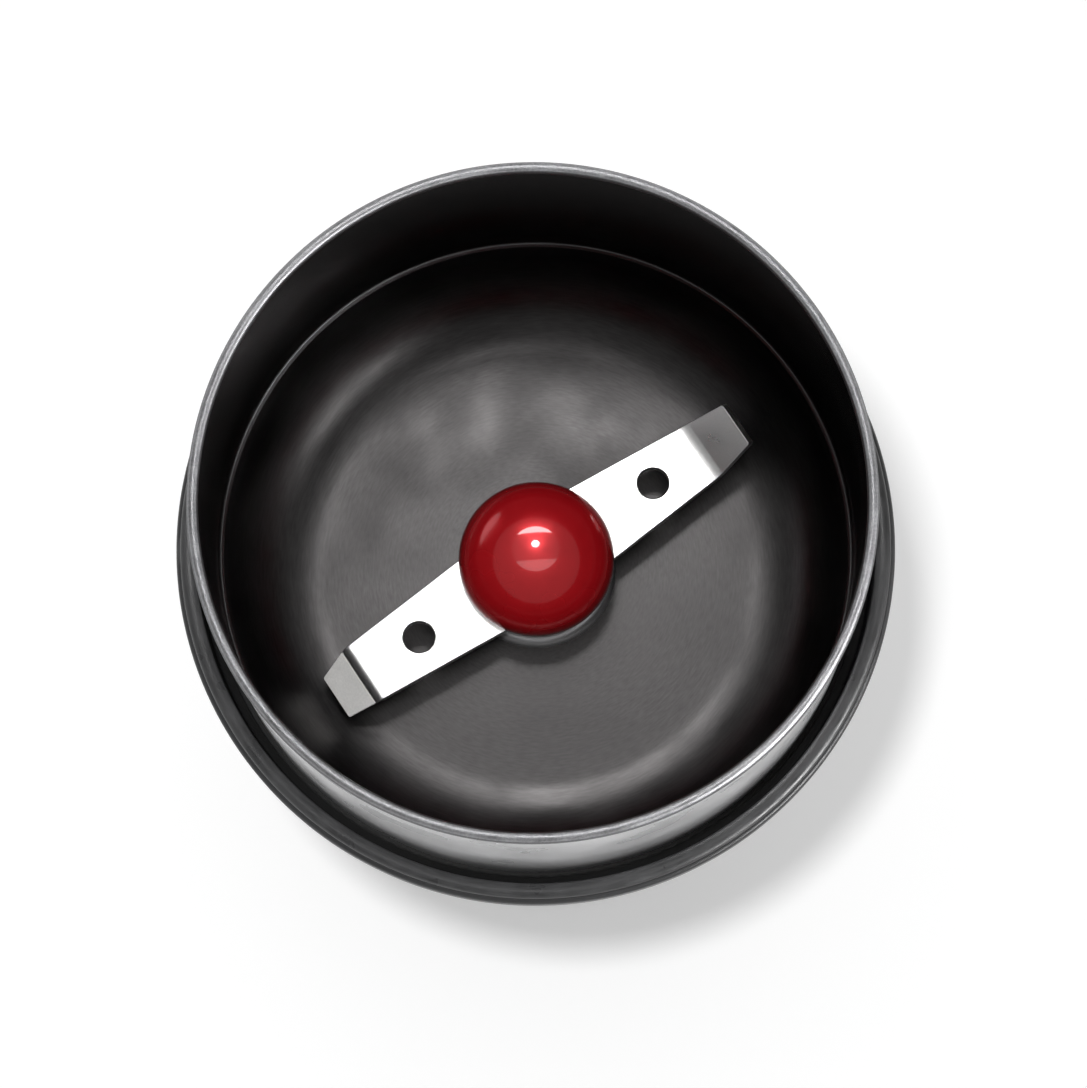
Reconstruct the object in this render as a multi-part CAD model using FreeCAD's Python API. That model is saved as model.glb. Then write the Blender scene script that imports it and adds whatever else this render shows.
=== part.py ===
import FreeCAD, Part
import math
import os

os.makedirs("parts", exist_ok=True)

# An electric blade grinder for spices: a polished steel bowl with a two-armed blade stands in the
# shoulder of a tapered housing, and a small mains motor under the bowl turns the blade.
# Sizes are in millimetres. Z is up, Z = 0 is the surface that the feet stand on, and the Z axis is
# the motor shaft's axis. The power button is at the front, at -Y, and the cord's inlet at the back.

# Clearances that the whole assembly shares
sheet_gap = 0.05          # a part pressed into or slipped over another of the same body
loose_gap = 0.3           # plates and discs inside the housing
running_gap = 0.04        # the shaft in its bearings
air_gap = 0.6             # rotor in stator
moving_gap = 0.2          # ends of pieces that turn or slide past each other
hole_gap = 0.15           # screws in clearance holes
cut_margin = 1.0          # how far a cut runs past the face that it opens
same_point = 1e-6         # two points closer than this are one
upright = 0.9             # an edge that climbs by more than this share of its length is upright

# Feet, base plate and the housing's lower edge
foot_radius = 5.0
foot_stand = 2.5          # how far a foot stands out of the base plate
foot_sink = 0.8           # how deep a foot is glued into the base plate
foot_circle = 25.0
foot_count = 4
foot_start = 45.0
skirt_gap = 1.5           # the housing's lower edge clears the table by this
base_thickness = 2.5
base_boss_radius = 3.2
base_boss_height = 15.0
base_boss_edge = 4.75     # from the housing's wall to a base screw's axis
base_boss_angles = (30.0, 150.0, 270.0)
base_slot_width = 2.0     # air slots in the base plate's middle
base_slot_pitch = 3.03
base_slot_pairs = 2       # slots on each side of the middle one

# Screws: the shank's radius and the head's radius and height
small_screw = (1.3, 2.5, 1.4)
long_screw = (1.5, 2.9, 2.0)
thread_bite = 8.0         # how far a small screw goes into plastic

# The motor's stack, from the base plate up
motor_clearance = 6.0
bearing_length = 7.0
bearing_radius = 7.0
bearing_ease = 0.7        # bevel on a bearing's ends
bearing_wall = 2.0        # the bracket's ring round a bearing
bracket_thickness = 2.0
bracket_offset = 1.0      # from the lower bearing's end to the lower bracket's plate
washer_thickness = 0.9
commutator_length = 10.0
commutator_radius = 8.0
commutator_bars = 12
bar_slot = 0.5
bar_slot_depth = 1.2
overhang = 6.0            # how far the windings stand out of the laminations
stack_length = 24.0
armature_slots = 12
slot_width = 2.2
slot_mouth = 1.2
slot_edge = 1.7           # from the armature's skin to the slots' wide part
slot_depth = 5.6
winding_core = 5.0        # inner radius of the armature's end turns
shaft_radius = 3.0
spindle_radius = 2.5      # the shaft's thinner end, which carries the blade
stator_radius = 28.5
yoke_width = 5.5
coil_depth = 4.5          # between the yoke and the poles' shoes
shoe_width = 2.6
shoe_half_angle = 55.0
pole_width = 14.0
coil_width = 5.4
coil_gap = 0.15
fan_radius = 19.0
fan_height = 7.0
fan_plate = 1.2
fan_vanes = 11
vane_thickness = 1.2
vane_lean = 24.0
fan_hub = 7.0
fan_clearance = 2.0
pillar_radius = 3.2
pillar_inset = 3.0        # from the stator's skin to a pillar's axis
upper_plate_edge = 1.5    # how far the upper bracket's plate reaches past the stator
upper_plate_half_depth = 20.5
upper_plate_drop = 3.6    # from the upper bearing's lower end to the upper bracket's plate
lower_plate_half_depth = 10.5
lower_plate_edge = 0.8    # how far the lower bracket's plate reaches past its pillars
brush_width = 5.0
brush_height = 6.0
brush_length = 8.8
holder_wall = 1.0
holder_length = 14.3
holder_start = 9.6
carrier_ring_inner = 9.8
carrier_ring_thickness = 2.5
carrier_post_radius = 3.0
carrier_post_circle = 15.0
foot_ring_width = 3.0
foot_ring_height = 4.0
foot_socket_wall = 1.6

# Rubber mounts between the motor and the bulkhead under the bowl
mount_radius = 4.5
mount_waist = 3.5
mount_height = 7.3
mount_circle = 24.0
mount_angles = (45.0, 135.0, 225.0, 315.0)
mount_boss = 2.0

# The bulkhead under the bowl
bulkhead_thickness = 3.0
bulkhead_pad = 1.7
bulkhead_pad_inner = 14.0
bulkhead_pad_outer = 26.0
bulkhead_boss_radius = 12.0
bulkhead_boss_drop = 2.5
bulkhead_screw_edge = 4.7 # from the housing's wall to a bulkhead screw's axis
bulkhead_screw_angles = (60.0, 180.0, 300.0)
bulkhead_post_radius = 3.0
bulkhead_post_length = 10.0

# Grinding bowl
sheet = 0.8
bowl_depth = 54.0
bowl_corner = 12.0        # the round between the bowl's floor and its wall
bowl_lower_radius = 40.25 # inside, under the step
bowl_step = 0.45          # how far the wall steps out above its lower part
bowl_draw = 0.9           # how far the wall draws in from the step to the rim
step_drop = 37.65         # from the rim's top to the step
step_height = 0.35
bead_radius = 0.7

# Hub that clamps the bowl to the bulkhead, its nut and the shaft seal
hub_neck_radius = 6.95
hub_flange_radius = 10.5
hub_flange = 1.2
hub_tower_radius = 5.8
hub_tower = 3.4           # from the bowl's floor to the top of the hub
hub_bore = 3.6
seal_radius = 5.0
seal_height = 2.9
nut_radius = 10.8
nut_height = 3.4
nut_sides = 6

# Blade, its spacer, nut and domed cap
blade_level = 8.0         # from the bowl's floor to the blade's upper face
blade_thickness = 1.5
blade_root_width = 12.4
blade_bend_width = 8.3
blade_tip_width = 6.3
blade_bend_up = 26.1      # where the rising arm bends
blade_bend_down = 27.5    # where the falling arm bends
tip_length = 6.0
tip_angle_up = 34.0
tip_angle_down = 48.0
tip_round = 0.3           # rounded corners of the tips
blade_hole_radius = 2.1
blade_hole_circle = 18.45
spacer_radius = 5.0
spacer_height = 2.1
cap_radius = 10.2
cap_height = 7.4
cap_skirt = 0.8
cap_crown = 16.2          # radius of the cap's flatter top
cap_nut_radius = 4.6
cap_nut_height = 4.6

# Shoulder: the lip ring, its recess and the housing's band
lip_drop = 31.75          # from the rim's top to the lip's top
lip_width = 1.95
lip_thickness = 0.9
lip_round = 0.35
shadow_groove = 0.4
groove_depth = 0.5
lip_tube = 0.95
recess_width = 1.8        # between the bowl and the lip
recess_depth = 6.75
recess_floor = 1.5
gasket_width = 1.1
gasket_round = 0.3

# Housing
band_step = 0.65          # how far the band stands out past the lip
band_height = 3.4
band_round = 0.6
shoulder_inset = 0.9      # how far the band stands out past the taper's upper end
foot_end_radius = 38.6
wall = 2.4
ledge_thickness = 2.4
skirt_round = 1.2
lap_height = 3.0          # the shoulder shell's spigot inside the housing's upper edge
lap_wall = 1.6
seam_groove = 0.3         # depth of the line between the housing and the shoulder shell
vent_count = 24
vent_width = 1.6
vent_height = 9.0
vent_rise = 6.5           # from the base plate to the vents' middle
vent_free_half = 2        # vents left out on each side of the inlet

# Power button, its bezel, spring and switch
button_radius = 8.6
button_crown = 0.8
button_proud = 1.0
button_travel = 2.0
button_ears = 9.9
button_ear_thickness = 1.2
button_stem_radius = 2.5
button_stem = 1.8
bezel_wall = 1.8
bezel_proud = 1.4
bezel_length = 7.7
bezel_round = 0.4
sleeve_wall = 2.0
spring_radius = 4.6
spring_wire = 0.5
spring_length = 4.2
spring_turns = 3
plunger_radius = 1.6
plunger_length = 4.4
switch_width = 20.0
switch_depth = 7.5
switch_height = 12.5
switch_ear = 5.4
switch_ear_thickness = 2.0
switch_ear_height = 6.0
switch_post_radius = 2.7
terminal_length = 6.0
terminal_height = 3.6
terminal_thickness = 0.8
terminal_rise = 2.4
terminal_inset = 1.8      # from the switch's rear face
button_rise = 9.0         # from the windings' top to the button's middle

# Cord inlet, clamp, terminal block and small electrical parts
inlet_rise = 9.0          # from the base plate to the inlet's axis
inlet_bore = 3.3
inlet_radius = 4.6
inlet_flange_radius = 5.6
inlet_flange = 1.6
inlet_proud = 0.5
clamp_half_length = 12.0
clamp_width = 6.0
clamp_thickness = 3.0
clamp_inset = 9.4         # from the housing's wall to the clamp's middle
clamp_post_spacing = 9.0
clamp_post_radius = 2.6
block_length = 16.0
block_width = 7.5
block_height = 8.0
block_gap = 1.75          # between the motor's socket and the terminal block
capacitor_size = (13.0, 7.0, 11.0)
capacitor_round = 0.9
capacitor_circle = 28.0
capacitor_angle = 235.0
cutout_size = (9.0, 3.9, 10.0)
cutout_angle = 135.0
wire_radius = 1.1
wire_bend = 4.0
wire_bend_share = 0.45    # a bend takes at most this share of the shorter run beside it
wire_lane_angle = 47.0    # where the long lead climbs beside the stator
brush_spring_radius = 1.9
brush_spring_wire = 0.4
brush_spring_turns = 6
arcs_per_turn = 8         # pairs of arcs that draw one turn of a spring

# Levels, worked out from the table up
base_low = foot_stand
base_top = base_low + base_thickness
lower_bearing_low = base_top + motor_clearance
lower_bearing_top = lower_bearing_low + bearing_length
lower_plate_low = lower_bearing_low + bracket_offset
lower_plate_top = lower_plate_low + bracket_thickness
lower_washer_low = lower_bearing_top + moving_gap
commutator_low = lower_washer_low + washer_thickness + moving_gap
commutator_top = commutator_low + commutator_length
stack_low = commutator_top + overhang
stack_top = stack_low + stack_length
winding_top = stack_top + overhang
fan_low = winding_top + fan_clearance
fan_top = fan_low + fan_height
upper_washer_low = fan_top + moving_gap
upper_bearing_low = upper_washer_low + washer_thickness + moving_gap
upper_plate_low = upper_bearing_low + upper_plate_drop
upper_plate_top = upper_plate_low + bracket_thickness
mount_top = upper_plate_top + mount_height
bulkhead_low = mount_top + mount_boss
bulkhead_top = bulkhead_low + bulkhead_thickness
bowl_underside = bulkhead_top + bulkhead_pad
seam_level = bulkhead_top + lap_height
bowl_floor = bowl_underside + sheet
rim_top = bowl_floor + bowl_depth
step_level = rim_top - step_drop
lip_top = rim_top - lip_drop
recess_level = lip_top - recess_depth
ledge_top = recess_level - recess_floor
ledge_low = ledge_top - ledge_thickness
band_top = lip_top - lip_thickness - shadow_groove
band_low = band_top - band_height
blade_top = bowl_floor + blade_level
blade_low = blade_top - blade_thickness
spacer_low = blade_low - spacer_height
hub_top = bowl_floor + hub_tower
hub_end = bulkhead_low - bulkhead_boss_drop - nut_height
brush_level = commutator_low + commutator_length / 2
button_level = winding_top + button_rise
inlet_level = base_top + inlet_rise

# Radii and depths that follow from others
bowl_step_radius = bowl_lower_radius + bowl_step
bowl_mouth_radius = bowl_step_radius - bowl_draw
lip_inner = bowl_step_radius + sheet + recess_width
lip_outer = lip_inner + lip_width
band_radius = lip_outer + band_step
shoulder_radius = band_radius - shoulder_inset
socket_radius = bearing_radius + bearing_wall + sheet_gap + foot_ring_width + sheet_gap
block_depth = socket_radius + foot_socket_wall + block_gap + block_width / 2
yoke_inner = stator_radius - yoke_width
shoe_outer = yoke_inner - coil_depth
stator_bore = shoe_outer - shoe_width
armature_radius = stator_bore - air_gap
slot_outer = armature_radius - slot_edge
slot_inner = slot_outer - slot_depth
pillar_circle = stator_radius - pillar_inset
upper_plate_radius = stator_radius + upper_plate_edge
hub_hole = hub_neck_radius + sheet_gap
gasket_inner = bowl_lower_radius + sheet
gasket_outer = gasket_inner + gasket_width
ledge_bore = gasket_inner + loose_gap
lip_bore_outer = lip_inner + lip_tube
carrier_ring_outer = pillar_circle - pillar_radius - loose_gap


def body_radius(z):
    """Outer radius of the tapered housing at height z."""
    share = (z - skirt_gap) / (band_low - skirt_gap)
    return foot_end_radius + (shoulder_radius - foot_end_radius) * share


def inner_radius(z):
    """Inner radius of the housing's wall at height z."""
    return body_radius(z) - wall


base_boss_circle = inner_radius(base_low) - base_boss_edge
bulkhead_screw_circle = inner_radius(bulkhead_low) - bulkhead_screw_edge
clamp_depth = inner_radius(inlet_level) - clamp_inset
bezel_front = body_radius(button_level) + bezel_proud
bezel_rear = bezel_front - bezel_length
bezel_bore = button_radius + moving_gap
bezel_radius = bezel_bore + bezel_wall
sleeve_bore = bezel_radius + sheet_gap
sleeve_radius = sleeve_bore + sleeve_wall
button_front = bezel_front + button_proud
ear_front = bezel_rear - moving_gap / 2
ear_rear = ear_front - button_ear_thickness
stem_end = ear_rear - button_stem
switch_front = ear_rear - spring_length
switch_rear = switch_front - switch_depth
switch_screw_x = switch_width / 2 + switch_ear / 2
inlet_outside = body_radius(inlet_level) + inlet_proud
inlet_inside = inner_radius(inlet_level) - inlet_flange - sheet_gap


def vec(x, y, z):
    """A point or a direction."""
    return FreeCAD.Vector(x, y, z)


up = vec(0, 0, 1)
towards_back = vec(0, 1, 0)


def around(radius, angle):
    """x and y at a radius and an angle, in degrees from +X."""
    turn = math.radians(angle)
    return radius * math.cos(turn), radius * math.sin(turn)


def disc(radius, low, high, x=0.0, y=0.0):
    """An upright cylinder between two heights."""
    return Part.makeCylinder(radius, high - low, vec(x, y, low), up)


def ring(outer, inner, low, high, x=0.0, y=0.0):
    """An upright tube between two heights."""
    return disc(outer, low, high, x, y).cut(disc(inner, low, high, x, y))


def bar(x_low, x_high, y_low, y_high, z_low, z_high):
    """A block between its lowest and highest corners."""
    return Part.makeBox(x_high - x_low, y_high - y_low, z_high - z_low, vec(x_low, y_low, z_low))


def rod_back(radius, y_low, y_high, x, z):
    """A cylinder that runs along Y."""
    return Part.makeCylinder(radius, y_high - y_low, vec(x, y_low, z), towards_back)


def turned(shape, angle):
    """A copy of a shape, turned about the Z axis."""
    copy = shape.copy()
    copy.rotate(vec(0, 0, 0), up, angle)
    return copy


def join(shapes):
    """One solid out of shapes that touch or overlap."""
    body = shapes[0]
    for extra in shapes[1:]:
        body = body.fuse(extra)
    return body.removeSplitter()


def group(shapes):
    """Separate solids that share one node."""
    return Part.makeCompound(shapes)


def upright_edges(shape):
    """The edges of a shape that run along Z."""
    return [edge for edge in shape.Edges if abs(edge.tangentAt(0).z) > upright]


def save(name, shape):
    """Write one node's STEP file."""
    shape.exportStep("parts/" + name + ".step")


class Profile:
    """A closed section beside the Z axis, drawn point by point and turned round the axis."""

    def __init__(self, r, z):
        self.first = vec(r, 0, z)
        self.at = self.first
        self.edges = []

    def line(self, r, z):
        """Draw a straight line to a point."""
        end = vec(r, 0, z)
        self.edges.append(Part.LineSegment(self.at, end).toShape())
        self.at = end
        return self

    def arc(self, r, z, centre_r, centre_z):
        """Draw the shorter arc about a centre to a point."""
        end = vec(r, 0, z)
        centre = vec(centre_r, 0, centre_z)
        chord = (self.at - centre) + (end - centre)
        chord.normalize()
        middle = centre + chord * (end - centre).Length
        self.edges.append(Part.Arc(self.at, middle, end).toShape())
        self.at = end
        return self

    def turn(self):
        """Close the section and turn it into a solid."""
        if (self.at - self.first).Length > same_point:
            self.line(self.first.x, self.first.z)
        return Part.Face(Part.Wire(self.edges)).revolve(vec(0, 0, 0), up, 360)


def housing_outside():
    """The housing's outer form, filled."""
    edge = skirt_gap + skirt_round
    foot = body_radius(edge)
    body = Profile(foot - skirt_round, skirt_gap)
    body.arc(foot, edge, foot - skirt_round, edge)
    body.line(shoulder_radius, band_low)
    body.line(band_radius, band_low + band_round)
    body.line(band_radius, band_top - band_round)
    body.arc(band_radius - band_round, band_top, band_radius - band_round, band_top - band_round)
    body.line(0, band_top)
    body.line(0, skirt_gap)
    return body.turn()


def housing_hollow():
    """The space inside the housing's wall, open at the bottom and at the top."""
    hollow = Profile(0, skirt_gap - wall)
    hollow.line(inner_radius(skirt_gap - wall), skirt_gap - wall)
    hollow.line(inner_radius(ledge_low), ledge_low)
    hollow.line(ledge_bore, ledge_low)
    hollow.line(ledge_bore, ledge_top)
    hollow.line(lip_bore_outer + sheet_gap, ledge_top)
    hollow.line(lip_bore_outer + sheet_gap, band_top + wall)
    hollow.line(0, band_top + wall)
    return hollow.turn()


def below_seam():
    """The space below the seam between the housing and the shoulder shell."""
    return disc(band_radius + cut_margin, 0, seam_level)


def seam_ring():
    """A V-shaped ring that opens the seam's outer edge."""
    edge = body_radius(seam_level)
    ring_face = Profile(edge - seam_groove, seam_level)
    ring_face.line(edge + seam_groove, seam_level - 2 * seam_groove)
    ring_face.line(edge + seam_groove, seam_level + 2 * seam_groove)
    return ring_face.turn()


def make_shoulder_shell():
    """Upper shell round the bowl: the band, the ledge and a spigot that laps into the housing."""
    shell = housing_outside().cut(housing_hollow()).cut(below_seam())
    wall_at_seam = inner_radius(seam_level)
    spigot = Profile(inner_radius(bulkhead_top) - sheet_gap - lap_wall, bulkhead_top)
    spigot.line(inner_radius(bulkhead_top) - sheet_gap, bulkhead_top)
    spigot.line(wall_at_seam - sheet_gap, seam_level)
    spigot.line(wall_at_seam + wall / 2, seam_level)
    spigot.line(wall_at_seam + wall / 2, seam_level + lap_wall)
    spigot.line(wall_at_seam - sheet_gap - lap_wall, seam_level + lap_wall)
    return join([shell, spigot.turn()]).cut(seam_ring())


def make_housing():
    """Tapered shell with its screw posts, button sleeve, inlet hole and vents."""
    outer = housing_outside()
    shell = outer.cut(housing_hollow()).common(below_seam()).cut(seam_ring())

    posts = []
    for angle in base_boss_angles:
        high = base_top + base_boss_height
        posts.append(wall_post(base_boss_radius, base_boss_circle, angle, base_top, high))
    for angle in bulkhead_screw_angles:
        low = bulkhead_low - bulkhead_post_length
        posts.append(wall_post(bulkhead_post_radius, bulkhead_screw_circle, angle, low, bulkhead_low))
    posts.append(rod_back(sleeve_radius, -body_radius(button_level), -bezel_rear, 0, button_level))
    for side in (-1, 1):
        post_start = -body_radius(button_level)
        x = side * switch_screw_x
        posts.append(rod_back(switch_post_radius, post_start, -switch_front, x, button_level))
    shell = join([shell] + [post.common(outer) for post in posts])

    cuts = [rod_back(sleeve_bore, -band_radius, -bezel_rear + wall, 0, button_level)]
    cuts.append(rod_back(inlet_radius + sheet_gap, inlet_inside - wall, band_radius, 0, inlet_level))
    for angle in base_boss_angles:
        x, y = around(base_boss_circle, angle)
        cuts.append(disc(small_screw[0], base_top, base_top + thread_bite, x, y))
    for angle in bulkhead_screw_angles:
        x, y = around(bulkhead_screw_circle, angle)
        cuts.append(disc(small_screw[0], bulkhead_low - thread_bite, bulkhead_low, x, y))
    for side in (-1, 1):
        x = side * switch_screw_x
        cuts.append(rod_back(small_screw[0], -switch_front - thread_bite / 2, -switch_front,
                             x, button_level))
    for cut in cuts:
        shell = shell.cut(cut)
    return shell.cut(group(vent_slots()))


def wall_post(radius, circle, angle, low, high):
    """A screw post with a web that ties it to the housing's wall."""
    web = bar(circle, body_radius(high), -radius / 2, radius / 2, low, high)
    return turned(disc(radius, low, high, circle, 0).fuse(web), angle)


def vent_slots():
    """Cooling slots round the housing's foot, with none beside the inlet and the screw posts."""
    slots = []
    pitch = 360.0 / vent_count
    middle = base_top + vent_rise
    for index in range(vent_count):
        angle = 90.0 + index * pitch
        if min(index, vent_count - index) <= vent_free_half:
            continue
        if min(abs((angle - boss + 180.0) % 360.0 - 180.0) for boss in base_boss_angles) < pitch / 2:
            continue
        half = vent_height / 2 - vent_width / 2
        block = bar(inner_radius(skirt_gap) - wall, band_radius, -vent_width / 2, vent_width / 2,
                    middle - half, middle + half)
        slots.append(turned(block, angle))
    return slots


def make_collar_ring():
    """Satin ring on the housing's shoulder: a lip, a shadow groove and the floor of the lid's recess."""
    lip_low = lip_top - lip_thickness
    ring_face = Profile(gasket_outer, ledge_top)
    ring_face.line(lip_bore_outer, ledge_top)
    ring_face.line(lip_bore_outer, band_top)
    ring_face.line(lip_outer - groove_depth, band_top)
    ring_face.line(lip_outer - groove_depth, lip_low)
    ring_face.line(lip_outer, lip_low)
    ring_face.line(lip_outer, lip_top - lip_round)
    ring_face.arc(lip_outer - lip_round, lip_top, lip_outer - lip_round, lip_top - lip_round)
    ring_face.line(lip_inner + lip_round, lip_top)
    ring_face.arc(lip_inner, lip_top - lip_round, lip_inner + lip_round, lip_top - lip_round)
    ring_face.line(lip_inner, recess_level)
    ring_face.line(gasket_outer, recess_level)
    return ring_face.turn()


def make_gasket():
    """Soft ring that seals the bowl's lower wall to the housing's ledge."""
    round_centre = (gasket_outer - gasket_round, recess_level - gasket_round)
    seal = Profile(gasket_inner, ledge_top)
    seal.line(gasket_outer, ledge_top)
    seal.line(gasket_outer, round_centre[1])
    seal.arc(round_centre[0], recess_level, *round_centre)
    seal.line(gasket_inner, recess_level)
    return seal.turn()


def make_bowl():
    """Pressed steel bowl with a rolled rim, a step in its wall and a round-cornered floor."""
    corner_level = bowl_floor + bowl_corner
    corner_centre = bowl_lower_radius - bowl_corner
    bead_level = rim_top - bead_radius
    wall_middle = bowl_mouth_radius + sheet / 2
    bead_centre = wall_middle + bead_radius - sheet / 2 - bead_radius / 4
    outer_reach = bowl_mouth_radius + sheet - bead_centre
    inner_reach = bead_centre - bowl_mouth_radius
    outer_drop = math.sqrt(bead_radius ** 2 - outer_reach ** 2)
    inner_drop = math.sqrt(bead_radius ** 2 - inner_reach ** 2)
    step_low = step_level - step_height
    skin = Profile(hub_hole, bowl_underside)
    skin.line(corner_centre, bowl_underside)
    skin.arc(bowl_lower_radius + sheet, corner_level, corner_centre, corner_level)
    skin.line(bowl_lower_radius + sheet, step_low - sheet / 2)
    skin.line(bowl_step_radius + sheet, step_level - sheet / 2)
    skin.line(bowl_mouth_radius + sheet, bead_level - outer_drop)
    skin.arc(bead_centre + bead_radius, bead_level, bead_centre, bead_level)
    skin.arc(bead_centre, rim_top, bead_centre, bead_level)
    skin.arc(bead_centre - bead_radius, bead_level, bead_centre, bead_level)
    skin.arc(bowl_mouth_radius, bead_level - inner_drop, bead_centre, bead_level)
    skin.line(bowl_step_radius, step_level)
    skin.line(bowl_lower_radius, step_low)
    skin.line(bowl_lower_radius, corner_level)
    skin.arc(corner_centre, bowl_floor, corner_centre, corner_level)
    skin.line(hub_hole, bowl_floor)
    return skin.turn()


def make_hub():
    """Flanged steel bush that clamps the bowl's floor and guards the shaft."""
    body = Profile(hub_bore, hub_end)
    body.line(hub_neck_radius, hub_end)
    body.line(hub_neck_radius, bowl_floor)
    body.line(hub_flange_radius, bowl_floor)
    body.line(hub_flange_radius - hub_flange / 2, bowl_floor + hub_flange)
    body.line(hub_tower_radius, bowl_floor + hub_flange)
    body.line(hub_tower_radius, hub_top)
    body.line(seal_radius, hub_top)
    body.line(seal_radius, hub_top - seal_height)
    body.line(hub_bore, hub_top - seal_height)
    return body.turn()


def make_hub_nut():
    """Six-sided nut under the bulkhead."""
    corners = [vec(*around(nut_radius, 360.0 * side / nut_sides), hub_end) for side in range(nut_sides)]
    hexagon = Part.Face(Part.makePolygon(corners + corners[:1])).extrude(up * nut_height)
    return hexagon.cut(disc(hub_neck_radius + sheet_gap, hub_end, hub_end + nut_height))


def make_shaft_seal():
    """Rubber lip seal in the hub, round the turning shaft."""
    lip = shaft_radius + running_gap * 2
    body = Profile(lip, hub_top - moving_gap)
    body.line(seal_radius, hub_top - moving_gap)
    body.line(seal_radius, hub_top - seal_height)
    body.line(hub_bore, hub_top - seal_height)
    body.line(hub_bore, hub_top - seal_height / 2)
    body.line(lip, hub_top - seal_height / 3)
    return body.turn()


def make_bulkhead():
    """Plastic bulkhead that carries the bowl above and the motor's rubber mounts below."""
    plate = disc(inner_radius(bulkhead_low) - loose_gap, bulkhead_low, bulkhead_top)
    pad = ring(bulkhead_pad_outer, bulkhead_pad_inner, bulkhead_top, bowl_underside)
    boss = disc(bulkhead_boss_radius, bulkhead_low - bulkhead_boss_drop, bowl_underside)
    body = join([plate, pad, boss])
    for angle in mount_angles:
        x, y = around(mount_circle, angle)
        body = body.fuse(disc(mount_radius, mount_top, bulkhead_low, x, y))
    body = body.removeSplitter()
    for angle in mount_angles:
        x, y = around(mount_circle, angle)
        body = body.cut(disc(long_screw[0], mount_top, bulkhead_top, x, y))
    for angle in bulkhead_screw_angles:
        x, y = around(bulkhead_screw_circle, angle)
        body = body.cut(disc(small_screw[0] + hole_gap, bulkhead_low, bulkhead_top, x, y))
    return body.cut(disc(hub_hole, hub_end, bowl_underside))


def screw_up(size, x, y, head_low, tip):
    """A screw that points up, with its head below."""
    shank, head, height = size
    body = disc(head, head_low, head_low + height, x, y)
    body = body.fuse(disc(shank - sheet_gap, head_low + height, tip, x, y))
    slot = bar(x - head, x + head, y - shank / 4, y + shank / 4, head_low, head_low + height / 2)
    return body.cut(slot)


def screw_down(size, x, y, head_low, tip):
    """A screw that points down, with its head above."""
    shank, head, height = size
    body = disc(head, head_low, head_low + height, x, y)
    body = body.fuse(disc(shank - sheet_gap, tip, head_low, x, y))
    slot = bar(x - head, x + head, y - shank / 4, y + shank / 4, head_low + height / 2, head_low + height)
    return body.cut(slot)


def make_bulkhead_screws():
    """Three screws that hold the bulkhead to the housing's posts."""
    screws = []
    for angle in bulkhead_screw_angles:
        x, y = around(bulkhead_screw_circle, angle)
        screws.append(screw_down(small_screw, x, y, bulkhead_top, bulkhead_low - thread_bite + hole_gap))
    return group(screws)


def make_motor_mounts():
    """Four waisted rubber blocks between the motor and the bulkhead."""
    blocks = []
    for angle in mount_angles:
        x, y = around(mount_circle, angle)
        low = upper_plate_top
        block = Profile(long_screw[0] + hole_gap, low)
        block.line(mount_radius, low)
        block.line(mount_radius, low + mount_height / 4)
        block.line(mount_waist, low + mount_height / 3)
        block.line(mount_waist, mount_top - mount_height / 3)
        block.line(mount_radius, mount_top - mount_height / 4)
        block.line(mount_radius, mount_top)
        block.line(long_screw[0] + hole_gap, mount_top)
        solid = block.turn()
        solid.translate(vec(x, y, 0))
        blocks.append(solid)
    return group(blocks)


def make_mount_screws():
    """Four screws through the motor's upper bracket and rubber mounts into the bulkhead."""
    screws = []
    for angle in mount_angles:
        x, y = around(mount_circle, angle)
        head_low = upper_plate_low - long_screw[2]
        screws.append(screw_up(long_screw, x, y, head_low, bulkhead_top - hole_gap))
    return group(screws)


def pillars(low, high):
    """The two tubular pillars of a motor bracket."""
    return [disc(pillar_radius, low, high, side * pillar_circle, 0) for side in (-1, 1)]


def tie_holes(body):
    """Cut the holes of the two tie screws."""
    for side in (-1, 1):
        x = side * pillar_circle
        body = body.cut(disc(long_screw[0] + hole_gap, 0, rim_top, x, 0))
    return body


def make_upper_bracket():
    """Upper motor bracket: a plate with a bearing ring and two pillars."""
    plate = disc(upper_plate_radius, upper_plate_low, upper_plate_top)
    reach = upper_plate_radius
    depth = upper_plate_half_depth
    plate = plate.common(bar(-reach, reach, -depth, depth, upper_plate_low, upper_plate_top))
    seat = disc(bearing_radius + bearing_wall, upper_bearing_low, upper_plate_top)
    body = join([plate, seat] + pillars(stack_top, upper_plate_low))
    body = body.cut(disc(bearing_radius, upper_bearing_low, upper_plate_top))
    for angle in mount_angles:
        x, y = around(mount_circle, angle)
        body = body.cut(disc(long_screw[0] + hole_gap, upper_plate_low, upper_plate_top, x, y))
    return tie_holes(body)


def make_lower_bracket():
    """Lower motor bracket: a bridge with a bearing ring and two pillars."""
    reach = pillar_circle + pillar_radius + lower_plate_edge
    depth = lower_plate_half_depth
    bridge = bar(-reach, reach, -depth, depth, lower_plate_low, lower_plate_top)
    bridge = bridge.common(disc(reach, lower_plate_low, lower_plate_top))
    seat = disc(bearing_radius + bearing_wall, lower_bearing_low, lower_bearing_top - bracket_thickness)
    body = join([bridge, seat] + pillars(lower_plate_top, stack_low))
    body = body.cut(disc(bearing_radius, lower_bearing_low, lower_bearing_top))
    for side in (-1, 1):
        x = side * carrier_post_circle
        body = body.cut(disc(small_screw[0] + hole_gap, lower_plate_low, lower_plate_top, x, 0))
    return tie_holes(body)


def make_tie_screws():
    """Two long screws that clamp the brackets and the stator together."""
    screws = []
    for side in (-1, 1):
        head_low = lower_plate_low - long_screw[2]
        x = side * pillar_circle
        screws.append(screw_up(long_screw, x, 0, head_low, upper_plate_top + long_screw[2]))
    return group(screws)


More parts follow.
